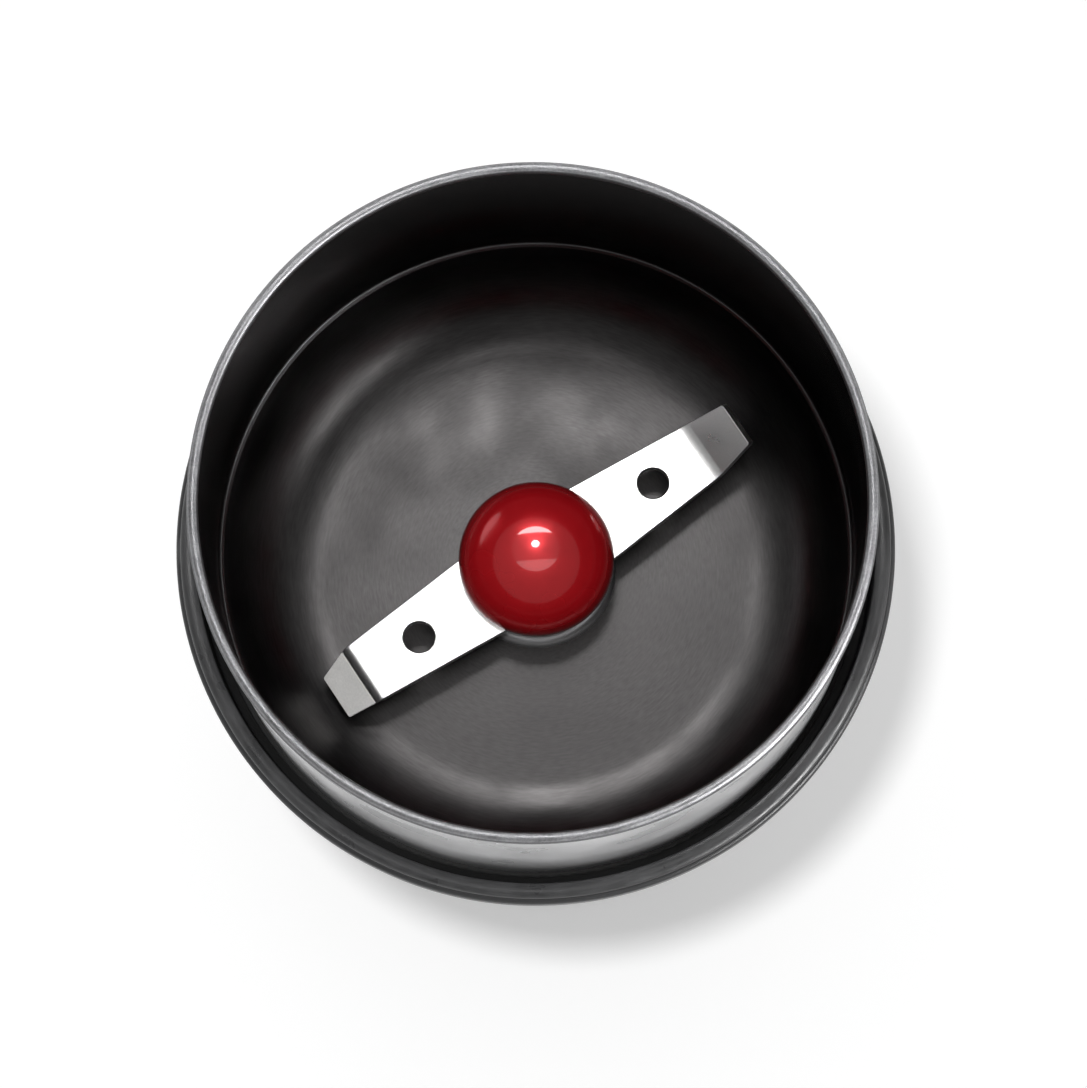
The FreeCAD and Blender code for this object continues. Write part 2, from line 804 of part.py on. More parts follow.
def make_bearing(low):
    """Sintered bronze sleeve round the shaft, with eased edges."""
    bore = shaft_radius + running_gap
    sleeve = Profile(bore, low)
    sleeve.line(bearing_radius - bearing_ease, low)
    sleeve.line(bearing_radius, low + bearing_ease)
    sleeve.line(bearing_radius, low + bearing_length - bearing_ease)
    sleeve.line(bearing_radius - bearing_ease, low + bearing_length)
    sleeve.line(bore, low + bearing_length)
    return sleeve.turn()


def make_stator():
    """Stack of laminations: a yoke with two poles and their shoes round the rotor."""
    body = ring(stator_radius, yoke_inner, stack_low, stack_top)
    shoes = ring(shoe_outer, stator_bore, stack_low, stack_top)
    half_gap = shoe_outer * math.cos(math.radians(shoe_half_angle))
    shoes = shoes.cut(bar(-shoe_outer, shoe_outer, -half_gap, half_gap, stack_low, stack_top))
    neck_start = math.sqrt(stator_bore ** 2 - (pole_width / 2) ** 2)
    necks = []
    for side in (-1, 1):
        ends = sorted((side * neck_start, side * (yoke_inner + yoke_width / 2)))
        necks.append(bar(-pole_width / 2, pole_width / 2, ends[0], ends[1], stack_low, stack_top))
    body = join([body, shoes] + necks)
    body = body.cut(disc(stator_bore, stack_low, stack_top))
    return tie_holes(body)


def make_field_coils():
    """Two flat coils round the poles' necks."""
    coils = []
    for side in (-1, 1):
        inside = pole_width / 2 + coil_gap
        outside = inside + coil_width
        ends = sorted((0, side * stator_radius))
        low = stack_low - coil_width
        high = stack_top + coil_width
        block = bar(-outside, outside, ends[0], ends[1], low, high)
        block = block.common(ring(yoke_inner - coil_gap, shoe_outer + coil_gap, low, high))
        window = bar(-inside, inside, ends[0], ends[1], stack_low - coil_gap, stack_top + coil_gap)
        coils.append(block.cut(window))
    return group(coils)


def make_brush_carrier():
    """Insulating ring on two posts, which carries the brush holders."""
    top = brush_level - brush_height / 2 - holder_wall - sheet_gap
    low = top - carrier_ring_thickness
    body = ring(carrier_ring_outer, carrier_ring_inner, low, top)
    for side in (-1, 1):
        x = side * carrier_post_circle
        body = body.fuse(disc(carrier_post_radius, lower_plate_top, low, x, 0))
    return body.removeSplitter()


def make_brush_holders():
    """Two brass tubes of square section, closed at their outer ends."""
    holders = []
    for side in (-1, 1):
        inside = brush_width / 2 + sheet_gap
        rise = brush_height / 2 + sheet_gap
        end = holder_start + holder_length
        tube = bar(-inside - holder_wall, inside + holder_wall, holder_start, end,
                   brush_level - rise - holder_wall, brush_level + rise + holder_wall)
        tube = tube.cut(bar(-inside, inside, holder_start, end - holder_wall,
                            brush_level - rise, brush_level + rise))
        holders.append(turned(tube, 0 if side > 0 else 180))
    return group(holders)


def make_carbon_brushes():
    """Two carbon brushes, hollowed to the commutator's curve."""
    brushes = []
    start = commutator_radius
    for side in (-1, 1):
        block = bar(-brush_width / 2, brush_width / 2, start, start + brush_length,
                    brush_level - brush_height / 2, brush_level + brush_height / 2)
        block = block.cut(disc(commutator_radius + moving_gap, commutator_low, commutator_top))
        brushes.append(turned(block, 0 if side > 0 else 180))
    return group(brushes)


def helix_arcs(radius, length, turns):
    """Edges of a helix about Z as pairs of arcs that meet smoothly."""
    steps = turns * arcs_per_turn
    rise = length / steps
    turn = 2 * math.pi / arcs_per_turn
    edges = []
    points = []
    tangents = []
    for index in range(steps + 1):
        angle = index * turn
        points.append(vec(radius * math.cos(angle), radius * math.sin(angle), index * rise))
        tangent = vec(-radius * math.sin(angle) * turn, radius * math.cos(angle) * turn, rise)
        tangents.append(tangent.normalize())
    for index in range(steps):
        edges.extend(biarc(points[index], tangents[index], points[index + 1], tangents[index + 1]))
    return edges


def biarc(start, start_tangent, end, end_tangent):
    """Two arcs from start to end that leave and arrive along the given tangents."""
    chord = end - start
    both = start_tangent + end_tangent
    spread = 2 * (1 - start_tangent.dot(end_tangent))
    reach = (math.sqrt(chord.dot(both) ** 2 + spread * chord.dot(chord)) - chord.dot(both)) / spread
    joint = (start + end + (start_tangent - end_tangent) * reach) * 0.5
    return [arc_from(start, start_tangent, joint), arc_from(end, end_tangent * -1, joint)]


def arc_from(start, tangent, end):
    """The arc that leaves start along a tangent and ends at end."""
    chord = end - start
    length = chord.Length
    along = chord * (1 / length)
    aside = along * tangent.dot(along) - tangent
    lean = math.acos(max(-1.0, min(1.0, tangent.dot(along))))
    aside.normalize()
    middle = (start + end) * 0.5 - aside * (length / 2 * math.tan(lean / 2))
    return Part.Arc(start, middle, end).toShape()


def coil_spring(radius, wire, length, turns):
    """A round-wire spring along Z, from 0 to length, on a helix of smooth arcs."""
    edges = helix_arcs(radius, length - wire, turns)
    path = Part.Wire(Part.sortEdges(edges)[0])
    start = vec(radius, 0, 0)
    rise = (length - wire) / turns
    tangent = vec(0, 2 * math.pi * radius, rise)
    section = Part.Wire([Part.makeCircle(wire / 2, start, tangent)])
    spring = path.makePipeShell([section], True, False)
    spring.translate(vec(0, 0, wire / 2))
    print("spring gap", round(rise - wire, 3), "volume", round(spring.Volume, 2),
          "section times length", round(path.Length * math.pi * (wire / 2) ** 2, 2))
    return spring


def laid_back(shape, y, z):
    """A shape that was made along +Z, laid along +Y with its foot at y and its axis at z."""
    copy = shape.copy()
    copy.rotate(vec(0, 0, 0), vec(1, 0, 0), -90)
    copy.translate(vec(0, y, z))
    return copy


def make_brush_springs():
    """Two springs that push the brushes in."""
    start = commutator_radius + brush_length + sheet_gap
    length = holder_start + holder_length - holder_wall - sheet_gap - start
    spring = coil_spring(brush_spring_radius, brush_spring_wire, length, brush_spring_turns)
    spring = laid_back(spring, start, brush_level)
    return group([spring, turned(spring, 180)])


def make_foot_ring():
    """Rubber ring that steadies the motor's lower end in the base plate's socket."""
    inner = bearing_radius + bearing_wall + sheet_gap
    high = lower_plate_low
    return ring(inner + foot_ring_width, inner, high - foot_ring_height, high)


def make_base_plate():
    """Bottom cover with feet seats, air slots, the motor's socket and the cord clamp's posts."""
    plate = disc(inner_radius(base_low) - loose_gap, base_low, base_top)
    outside = socket_radius + foot_socket_wall
    ring_low = lower_plate_low - foot_ring_height
    parts = [plate, ring(outside, socket_radius, base_top, ring_low + foot_ring_height / 2)]
    parts.append(ring(outside, socket_radius - foot_ring_width / 2, base_top, ring_low))
    for side in (-1, 1):
        x = side * clamp_post_spacing
        parts.append(disc(clamp_post_radius, base_top, clamp_low(), x, clamp_depth))
    body = join(parts)
    for angle in base_boss_angles:
        x, y = around(base_boss_circle, angle)
        body = body.cut(disc(small_screw[0] + hole_gap, base_low, base_top, x, y))
        body = body.cut(disc(small_screw[1] + loose_gap, base_low, base_low + small_screw[2], x, y))
    for index in range(foot_count):
        x, y = around(foot_circle, foot_start + index * 360.0 / foot_count)
        body = body.cut(disc(foot_radius, base_low, base_low + foot_sink, x, y))
    for side in (-1, 1):
        x = side * clamp_post_spacing
        body = body.cut(disc(small_screw[0], clamp_low() - thread_bite, clamp_low(), x, clamp_depth))
    slot_reach = socket_radius - foot_ring_width
    half = base_slot_width / 2
    for index in range(-base_slot_pairs, base_slot_pairs + 1):
        y = index * base_slot_pitch
        reach = math.sqrt(slot_reach ** 2 - y ** 2)
        body = body.cut(bar(-reach, reach, y - half, y + half, base_low, base_top))
    return body


def clamp_low():
    """Height of the cord clamp's underside."""
    return inlet_level + clamp_post_radius / 2


def make_base_screws():
    """Three screws up through the base plate into the housing's posts."""
    screws = []
    for angle in base_boss_angles:
        x, y = around(base_boss_circle, angle)
        screws.append(screw_up(small_screw, x, y, base_low, base_top + thread_bite - hole_gap))
    return group(screws)


def make_feet():
    """Four round rubber feet with eased lower edges."""
    feet = []
    for index in range(foot_count):
        x, y = around(foot_circle, foot_start + index * 360.0 / foot_count)
        foot = Profile(0, 0)
        foot.line(foot_radius - foot_sink, 0)
        foot.line(foot_radius, foot_sink)
        foot.line(foot_radius, base_low + foot_sink)
        foot.line(0, base_low + foot_sink)
        solid = foot.turn()
        solid.translate(vec(x, y, 0))
        feet.append(solid)
    return group(feet)


def make_cord_inlet():
    """Rubber bush in the housing's back wall, with a flange on each side of the wall."""
    tube = rod_back(inlet_radius, inlet_inside, inlet_outside, 0, inlet_level)
    middle = inner_radius(inlet_level)
    inside = rod_back(inlet_flange_radius, inlet_inside, middle, 0, inlet_level).common(housing_hollow())
    collar = rod_back(inlet_flange_radius, middle, inlet_outside, 0, inlet_level).cut(housing_outside())
    body = join([tube, collar, inside])
    return body.cut(rod_back(inlet_bore, inlet_inside, inlet_outside, 0, inlet_level))


def make_cord_clamp():
    """Bar that holds the cord down, with a hollow over the cord."""
    low = clamp_low()
    half = clamp_width / 2
    body = bar(-clamp_half_length, clamp_half_length, clamp_depth - half, clamp_depth + half,
               low, low + clamp_thickness)
    body = body.cut(rod_back(inlet_bore - sheet_gap, clamp_depth - half, clamp_depth + half, 0, inlet_level))
    for side in (-1, 1):
        x = side * clamp_post_spacing
        body = body.cut(disc(small_screw[0] + hole_gap, low, low + clamp_thickness, x, clamp_depth))
    return body


def make_clamp_screws():
    """Two screws that hold the cord clamp to the base plate's posts."""
    screws = []
    top = clamp_low() + clamp_thickness
    for side in (-1, 1):
        x = side * clamp_post_spacing
        screws.append(screw_down(small_screw, x, clamp_depth, top, top - thread_bite))
    return group(screws)


def make_terminal_block():
    """Moulded block where the cord's cores meet the leads, with two clamp screw wells."""
    half = block_width / 2
    top = base_top + block_height
    body = bar(-block_length / 2, block_length / 2, block_depth - half, block_depth + half, base_top, top)
    for side in (-1, 1):
        x = side * block_length / 4
        body = body.cut(disc(block_width / 4, top - block_height / 2, top, x, block_depth))
    return body


def make_capacitor():
    """Suppression capacitor that stands on the base plate."""
    width, depth, height = capacitor_size
    body = bar(capacitor_circle - depth / 2, capacitor_circle + depth / 2, -width / 2, width / 2,
               base_top, base_top + height)
    body = body.makeFillet(min(capacitor_round, depth / 4), upright_edges(body))
    return turned(body, capacitor_angle)


def make_thermal_cutout():
    """Overheat cut-out that lies against the stator."""
    width, depth, height = cutout_size
    middle = (stack_low + stack_top) / 2
    body = bar(stator_radius - depth, stator_radius + depth, -width / 2, width / 2,
               middle - height / 2, middle + height / 2)
    body = body.cut(disc(stator_radius, stack_low, stack_top))
    return turned(body, cutout_angle)


def make_switch_body():
    """Momentary switch with two screw ears and a guide hole for its plunger."""
    half = switch_width / 2
    rise = switch_height / 2
    body = bar(-half, half, -switch_front, -switch_rear, button_level - rise, button_level + rise)
    ear = switch_ear_height / 2
    reach = half + switch_ear
    body = body.fuse(bar(-reach, reach, -switch_front, -switch_front + switch_ear_thickness,
                         button_level - ear, button_level + ear))
    for side in (-1, 1):
        body = body.cut(rod_back(small_screw[0] + hole_gap, -switch_front,
                                 -switch_front + switch_ear_thickness, side * switch_screw_x, button_level))
    depth = plunger_length - button_stem_gap() + button_travel + loose_gap
    body = body.cut(rod_back(plunger_radius + running_gap, -switch_front, -switch_front + depth,
                             0, button_level))
    return body.removeSplitter()


def button_stem_gap():
    """How far the plunger stands out of the switch at rest."""
    return stem_end - switch_front


def make_switch_screws():
    """Two screws that hold the switch to the housing's posts."""
    screws = []
    shank, head, height = small_screw
    face = -switch_front + switch_ear_thickness
    for side in (-1, 1):
        x = side * switch_screw_x
        body = rod_back(head, face, face + height, x, button_level)
        tip = -switch_front - thread_bite / 2 + hole_gap
        screws.append(body.fuse(rod_back(shank - sheet_gap, tip, face, x, button_level)))
    return group(screws)


def terminal_box():
    """Y of a terminal's middle and its lowest and highest Z."""
    middle = -switch_rear - terminal_inset
    low = button_level + terminal_rise - terminal_height / 2
    return middle, low, low + terminal_height


def make_switch_terminals():
    """Two flat tabs on the switch's sides."""
    tabs = []
    middle, low, high = terminal_box()
    for side in (-1, 1):
        ends = sorted((side * switch_width / 2, side * (switch_width / 2 + terminal_length)))
        tabs.append(bar(ends[0], ends[1], middle - terminal_thickness / 2, middle + terminal_thickness / 2,
                        low, high))
    return group(tabs)


def make_bezel():
    """Turned ring round the button, with eased front edges."""
    edge = bezel_round - bezel_front
    body = Profile(bezel_bore, edge)
    body.line(bezel_bore + bezel_round, -bezel_front)
    body.line(bezel_radius - bezel_round, -bezel_front)
    body.arc(bezel_radius, edge, bezel_radius - bezel_round, edge)
    body.line(bezel_radius, -bezel_rear)
    body.line(bezel_bore, -bezel_rear)
    return laid_back(body.turn(), 0, button_level)


def make_button():
    """Power button: a crowned cap, a retaining flange and a stem."""
    crown = (button_radius ** 2 + button_crown ** 2) / (2 * button_crown)
    edge = -button_front + button_crown
    body = Profile(0, -button_front)
    body.arc(button_radius, edge, 0, -button_front + crown)
    body.line(button_radius, -ear_front)
    body.line(button_ears, -ear_front)
    body.line(button_ears, -ear_rear)
    body.line(button_stem_radius, -ear_rear)
    body.line(button_stem_radius, -stem_end)
    body.line(0, -stem_end)
    return laid_back(body.turn(), 0, button_level)


def make_plunger():
    """The switch's plunger, which the button's stem pushes."""
    return rod_back(plunger_radius, -stem_end, -stem_end + plunger_length, 0, button_level)


def make_button_spring():
    """Spring between the button's flange and the switch."""
    spring = coil_spring(spring_radius, spring_wire, spring_length, spring_turns)
    return laid_back(spring, -ear_rear, button_level)


def wire(points):
    """An insulated lead along straight runs joined by arcs."""
    edges = []
    at = points[0]
    for index in range(1, len(points) - 1):
        corner = points[index]
        come = corner - points[index - 1]
        leave = points[index + 1] - corner
        shorter = min(come.Length, leave.Length)
        come.normalize()
        leave.normalize()
        half_turn = math.acos(max(-1.0, min(1.0, come.dot(leave)))) / 2
        radius = min(wire_bend, wire_bend_share * shorter / math.tan(half_turn))
        trim = radius * math.tan(half_turn)
        start = corner - come * trim
        end = corner + leave * trim
        inward = (leave - come).normalize()
        middle = corner + inward * (radius / math.cos(half_turn) - radius)
        edges.append(Part.LineSegment(at, start).toShape())
        edges.append(Part.Arc(start, middle, end).toShape())
        at = end
    edges.append(Part.LineSegment(at, points[-1]).toShape())
    path = Part.Wire(edges)
    section = Part.Wire([Part.makeCircle(wire_radius, points[0], points[1] - points[0])])
    return path.makePipeShell([section], True, False)


def make_lead_wires():
    """Leads from the terminal block to the switch and the coils, and from the coils to the brushes."""
    tab_y, tab_low, tab_high = terminal_box()
    tab_z = (tab_low + tab_high) / 2
    tab_x = switch_width / 2 + terminal_length + sheet_gap
    block_x = block_length / 2 + sheet_gap
    block_z = base_top + block_height / 2
    lane = (stator_radius + inner_radius(stack_low)) / 2
    coil_x = pole_width / 2 + coil_gap + coil_width + sheet_gap
    coil_y = (yoke_inner + shoe_outer) / 2
    coil_low_z = stack_low - coil_width / 2
    coil_high_z = stack_top + coil_width / 2
    holder_x = brush_width / 2 + holder_wall + sheet_gap * 2
    holder_y = holder_start + holder_length / 2
    lane_x, lane_y = around(lane, wire_lane_angle)
    lead = 2 * wire_bend
    leads = [wire([vec(block_x, block_depth, block_z),
                   vec(block_x + lead, block_depth, block_z),
                   vec(lane_x, lane_y, block_z + lead),
                   vec(lane_x, lane_y, button_level - lead),
                   vec(lane, 0, button_level),
                   vec(tab_x + lead, tab_y, tab_z),
                   vec(tab_x, tab_y, tab_z)])]
    leads.append(wire([vec(-tab_x, tab_y, tab_z),
                       vec(-tab_x - wire_bend, tab_y, tab_z),
                       vec(-tab_x - wire_bend, -coil_y - wire_bend, coil_high_z),
                       vec(-coil_x, -coil_y, coil_high_z)]))
    leads.append(wire([vec(-block_x, block_depth, block_z),
                       vec(-block_x - lead, block_depth, block_z),
                       vec(-block_x - lead, coil_y + wire_bend, coil_low_z),
                       vec(-coil_x, coil_y, coil_low_z)]))
    for side in (-1, 1):
        leads.append(wire([vec(side * coil_x, side * coil_y, coil_low_z),
                           vec(side * (coil_x + lead / 2), side * coil_y, coil_low_z - wire_bend / 2),
                           vec(side * coil_x, side * holder_y, brush_level),
                           vec(side * holder_x, side * holder_y, brush_level)]))
    return group(leads)


def make_shaft():
    """Motor shaft, thinner above its shoulder where it carries the blade."""
    top = blade_top + cap_nut_height
    low = lower_bearing_low + moving_gap
    body = Profile(0, low)
    body.line(shaft_radius, low)
    body.line(shaft_radius, spacer_low)
    body.line(spindle_radius, spacer_low)
    body.line(spindle_radius, top)
    body.line(0, top)
    return body.turn()


def make_thrust_washers():
    """Two washers that turn with the shaft, beside the bearings."""
    outer = bearing_radius - washer_thickness
    inner = shaft_radius + sheet_gap
    washers = []
    for low in (lower_washer_low, upper_washer_low):
        washers.append(ring(outer, inner, low, low + washer_thickness))
    return group(washers)


def make_commutator():
    """Copper commutator with grooves between its bars."""
    body = ring(commutator_radius, shaft_radius + sheet_gap, commutator_low, commutator_top)
    inside = commutator_radius - bar_slot_depth
    for index in range(commutator_bars):
        groove = bar(inside, commutator_radius + cut_margin, -bar_slot / 2, bar_slot / 2,
                     commutator_low, commutator_top)
        body = body.cut(turned(groove, index * 360.0 / commutator_bars))
    return body


def make_armature_core():
    """Slotted laminations of the rotor."""
    body = ring(armature_radius, shaft_radius + sheet_gap, stack_low, stack_top)
    for index in range(armature_slots):
        slot = bar(slot_inner, slot_outer, -slot_width / 2, slot_width / 2, stack_low, stack_top)
        mouth = bar(slot_outer, armature_radius + cut_margin, -slot_mouth / 2, slot_mouth / 2,
                    stack_low, stack_top)
        body = body.cut(turned(slot.fuse(mouth), index * 360.0 / armature_slots))
    return body


def make_armature_windings():
    """Copper windings: bars in the slots, joined by rounded end turns."""
    spare = sheet_gap
    outer = slot_outer - spare
    parts = []
    for sign, face in ((1, stack_top), (-1, stack_low)):
        start = face + sign * spare
        end = face + sign * (overhang - moving_gap)
        soft = overhang / 3
        lump = Profile(winding_core, start)
        lump.line(outer, start)
        lump.line(outer, end - sign * soft)
        lump.arc(outer - soft, end, outer - soft, end - sign * soft)
        lump.line(winding_core + soft, end)
        lump.line(winding_core, end - sign * soft)
        parts.append(lump.turn())
    for index in range(armature_slots):
        strip = bar(slot_inner + spare, outer, -slot_width / 2 + spare, slot_width / 2 - spare,
                    stack_low - spare, stack_top + spare)
        parts.append(turned(strip, index * 360.0 / armature_slots))
    return join(parts)


def make_fan():
    """Cooling fan: a hub, a plate and leaning vanes."""
    hub = ring(fan_hub, shaft_radius + sheet_gap, fan_low, fan_top)
    plate = ring(fan_radius, shaft_radius + sheet_gap, fan_low, fan_low + fan_plate)
    vanes = []
    for index in range(fan_vanes):
        vane = bar(0, fan_radius - fan_hub, -vane_thickness / 2, vane_thickness / 2, fan_low, fan_top)
        vane.rotate(vec(0, 0, 0), up, vane_lean)
        vane.translate(vec(fan_hub - vane_thickness / 2, 0, 0))
        vane = vane.common(disc(fan_radius, fan_low, fan_top))
        vanes.append(turned(vane, index * 360.0 / fan_vanes))
    body = join([hub, plate] + vanes)
    return body.cut(disc(shaft_radius + sheet_gap, fan_low, fan_top))


def make_spacer():
    """Steel spacer that lifts the blade off the shaft's shoulder."""
    return ring(spacer_radius, spindle_radius + running_gap, spacer_low, blade_low)


def blade_flat():
    """The flat middle of the blade, tapering towards both bends."""
    bend_half = blade_bend_width / 2
    ends = ((-blade_bend_up, bend_half), (0, blade_root_width / 2), (blade_bend_down, bend_half))
    lower = [vec(x, -half, blade_low) for x, half in ends]
    upper = [vec(x, half, blade_low) for x, half in reversed(ends)]
    outline = Part.makePolygon(lower + upper + lower[:1])
    return Part.Face(outline).extrude(up * blade_thickness)


def blade_tip(angle):
    """A tip along +X from its bend at the origin, tilted by an angle, with rounded corners."""
    half = blade_bend_width / 2
    end = blade_tip_width / 2
    corners = [vec(0, -half, 0), vec(tip_length, -end, 0), vec(tip_length, end, 0), vec(0, half, 0)]
    plate = Part.Face(Part.makePolygon(corners + corners[:1])).extrude(up * blade_thickness)
    ends = [edge for edge in upright_edges(plate) if edge.Vertexes[0].X > tip_length / 2]
    plate = plate.makeFillet(tip_round, ends)
    pivot = blade_thickness if angle > 0 else 0
    plate.rotate(vec(0, 0, pivot), vec(0, -1, 0), angle)
    knee = Part.makeCylinder(blade_thickness, 2 * half, vec(0, -half, pivot), towards_back)
    quadrant = blade_thickness * 2
    if angle > 0:
        keep = bar(0, quadrant, -half, half, pivot - quadrant, pivot)
    else:
        keep = bar(0, quadrant, -half, half, pivot, pivot + quadrant)
    limit = keep.copy()
    limit.rotate(vec(0, 0, pivot), vec(0, -1, 0), angle - math.copysign(90, angle))
    return plate, knee.common(keep).common(limit)


def make_blade():
    """Two-armed blade: one tip bent up, the other down, with a hole in each arm."""
    body = blade_flat()
    for bend, angle, turn in ((blade_bend_up, tip_angle_up, 180), (blade_bend_down, -tip_angle_down, 0)):
        for piece in blade_tip(angle):
            piece.translate(vec(bend, 0, blade_low))
            body = body.fuse(turned(piece, turn))
    body = body.removeSplitter()
    for x in (-blade_hole_circle, blade_hole_circle):
        body = body.cut(disc(blade_hole_radius, blade_low, blade_top, x, 0))
    return body.cut(disc(spindle_radius + running_gap, blade_low, blade_top))


def make_cap():
    """Domed cap over the blade's nut."""
    rise = cap_height - cap_skirt
    shoulder = (cap_radius ** 2 + rise ** 2 - 2 * cap_crown * rise) / (2 * (cap_radius - cap_crown))
    shoulder_level = blade_top + cap_skirt
    crown_level = blade_top + cap_height - cap_crown
    lean = math.atan2(cap_radius - shoulder, shoulder_level - crown_level)
    low = blade_top + sheet_gap
    dome = Profile(0, low)
    dome.line(cap_radius, low)
    dome.line(cap_radius, shoulder_level)
    dome.arc(cap_crown * math.sin(lean), crown_level + cap_crown * math.cos(lean),
             cap_radius - shoulder, shoulder_level)
    dome.arc(0, blade_top + cap_height, 0, crown_level)
    body = dome.turn()
    hollow = disc(cap_nut_radius + sheet_gap, low, blade_top + cap_nut_height + loose_gap)
    return body.cut(hollow)


def make_cap_nut():
    """Round brass nut inside the cap."""
    return ring(cap_nut_radius, spindle_radius + running_gap, blade_top, blade_top + cap_nut_height)


makers = {
    "housing": make_housing,
    "shoulder_shell": make_shoulder_shell,
    "collar_ring": make_collar_ring,
    "bowl_gasket": make_gasket,
    "grinding_bowl": make_bowl,
    "bowl_hub": make_hub,
    "hub_nut": make_hub_nut,
    "shaft_seal": make_shaft_seal,
    "bulkhead": make_bulkhead,
    "bulkhead_screws": make_bulkhead_screws,
    "motor_mounts": make_motor_mounts,
    "mount_screws": make_mount_screws,
    "upper_motor_bracket": make_upper_bracket,
    "lower_motor_bracket": make_lower_bracket,
    "tie_screws": make_tie_screws,
    "stator_core": make_stator,
    "field_coils": make_field_coils,
    "brush_carrier": make_brush_carrier,
    "brush_holders": make_brush_holders,
    "carbon_brushes": make_carbon_brushes,
    "brush_springs": make_brush_springs,
    "motor_foot_ring": make_foot_ring,
    "base_plate": make_base_plate,
    "base_screws": make_base_screws,
    "rubber_feet": make_feet,
    "cord_inlet": make_cord_inlet,
    "cord_clamp": make_cord_clamp,
    "clamp_screws": make_clamp_screws,
    "terminal_block": make_terminal_block,
    "capacitor": make_capacitor,
    "thermal_cutout": make_thermal_cutout,
    "switch_body": make_switch_body,
    "switch_screws": make_switch_screws,
    "switch_terminals": make_switch_terminals,
    "button_bezel": make_bezel,
    "power_button": make_button,
    "switch_plunger": make_plunger,
    "button_spring": make_button_spring,
    "lead_wires": make_lead_wires,
    "motor_shaft": make_shaft,
    "thrust_washers": make_thrust_washers,
    "commutator": make_commutator,
    "armature_core": make_armature_core,
    "armature_windings": make_armature_windings,
    "cooling_fan": make_fan,
    "blade_spacer": make_spacer,
    "blade": make_blade,
    "cap_nut": make_cap_nut,
    "blade_cap": make_cap,
}

for name, maker in makers.items():
    save(name, maker())
save("upper_bearing", make_bearing(upper_bearing_low))
save("lower_bearing", make_bearing(lower_bearing_low))
print("rim at", round(rim_top, 2), "step at", round(step_level, 2), "lip at", round(lip_top, 2))
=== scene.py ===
"""Looks of an electric spice grinder: a steel bowl with its blade on a tapered black motor housing."""
import logging
import math
from contextlib import contextmanager
from dataclasses import dataclass, field
from enum import Enum
from typing import Any, Callable, Iterable, Iterator, Sequence

import bpy
from mathutils import Matrix, Vector


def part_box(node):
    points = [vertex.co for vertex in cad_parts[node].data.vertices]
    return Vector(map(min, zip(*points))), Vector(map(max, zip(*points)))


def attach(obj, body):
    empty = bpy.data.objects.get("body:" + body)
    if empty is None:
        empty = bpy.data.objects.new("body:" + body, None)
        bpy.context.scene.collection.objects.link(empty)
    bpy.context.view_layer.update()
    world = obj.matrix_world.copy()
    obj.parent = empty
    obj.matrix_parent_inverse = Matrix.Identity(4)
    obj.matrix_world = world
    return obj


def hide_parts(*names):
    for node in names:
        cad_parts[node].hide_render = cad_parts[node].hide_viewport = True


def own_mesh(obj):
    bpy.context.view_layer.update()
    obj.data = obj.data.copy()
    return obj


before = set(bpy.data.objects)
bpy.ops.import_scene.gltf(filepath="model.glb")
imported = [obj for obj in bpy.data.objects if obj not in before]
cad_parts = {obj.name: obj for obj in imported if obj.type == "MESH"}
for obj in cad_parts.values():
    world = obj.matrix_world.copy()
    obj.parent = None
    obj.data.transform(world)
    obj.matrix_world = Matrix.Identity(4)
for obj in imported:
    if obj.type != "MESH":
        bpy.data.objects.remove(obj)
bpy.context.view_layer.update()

log = logging.getLogger("grinder")

Piece = bpy.types.Object
Socket = bpy.types.NodeSocket
Point = tuple[float, float]
Triple = tuple[float, float, float]

MM = 0.001
FULL_TURN = 2 * math.pi
WELD = 1e-6
SMOOTH_ANGLE = math.radians(32)
TONE_SPREAD = (0.6, 1.4)
WEAR_SPREAD = (0.52, 0.58)
WEAR_GAIN = 3
WEAR_LIFT = 0.06
BAND_SCALE = 0.314
BAND_WANDER = 0.4
HOLE_SIDES = 96


class Pattern(Enum):
    """How the fine marks of a finish run."""

    GRAIN = "grain"
    TURNED = "turned"
    DRAWN = "drawn"
    GROUND = "ground"
    LAYERED = "layered"
    WOUND = "wound"


STRETCH: dict[Pattern, Triple] = {
    Pattern.TURNED: (1.0, 1.0, 0.004),
    Pattern.DRAWN: (1.0, 1.0, 0.03),
    Pattern.GROUND: (0.02, 1.0, 1.0),
}
"""How dense the drawn-out patterns are along each axis."""


class Lathe(Enum):
    """The axis that a round finish was turned about."""

    SHAFT = "shaft"
    BUTTON = "button"


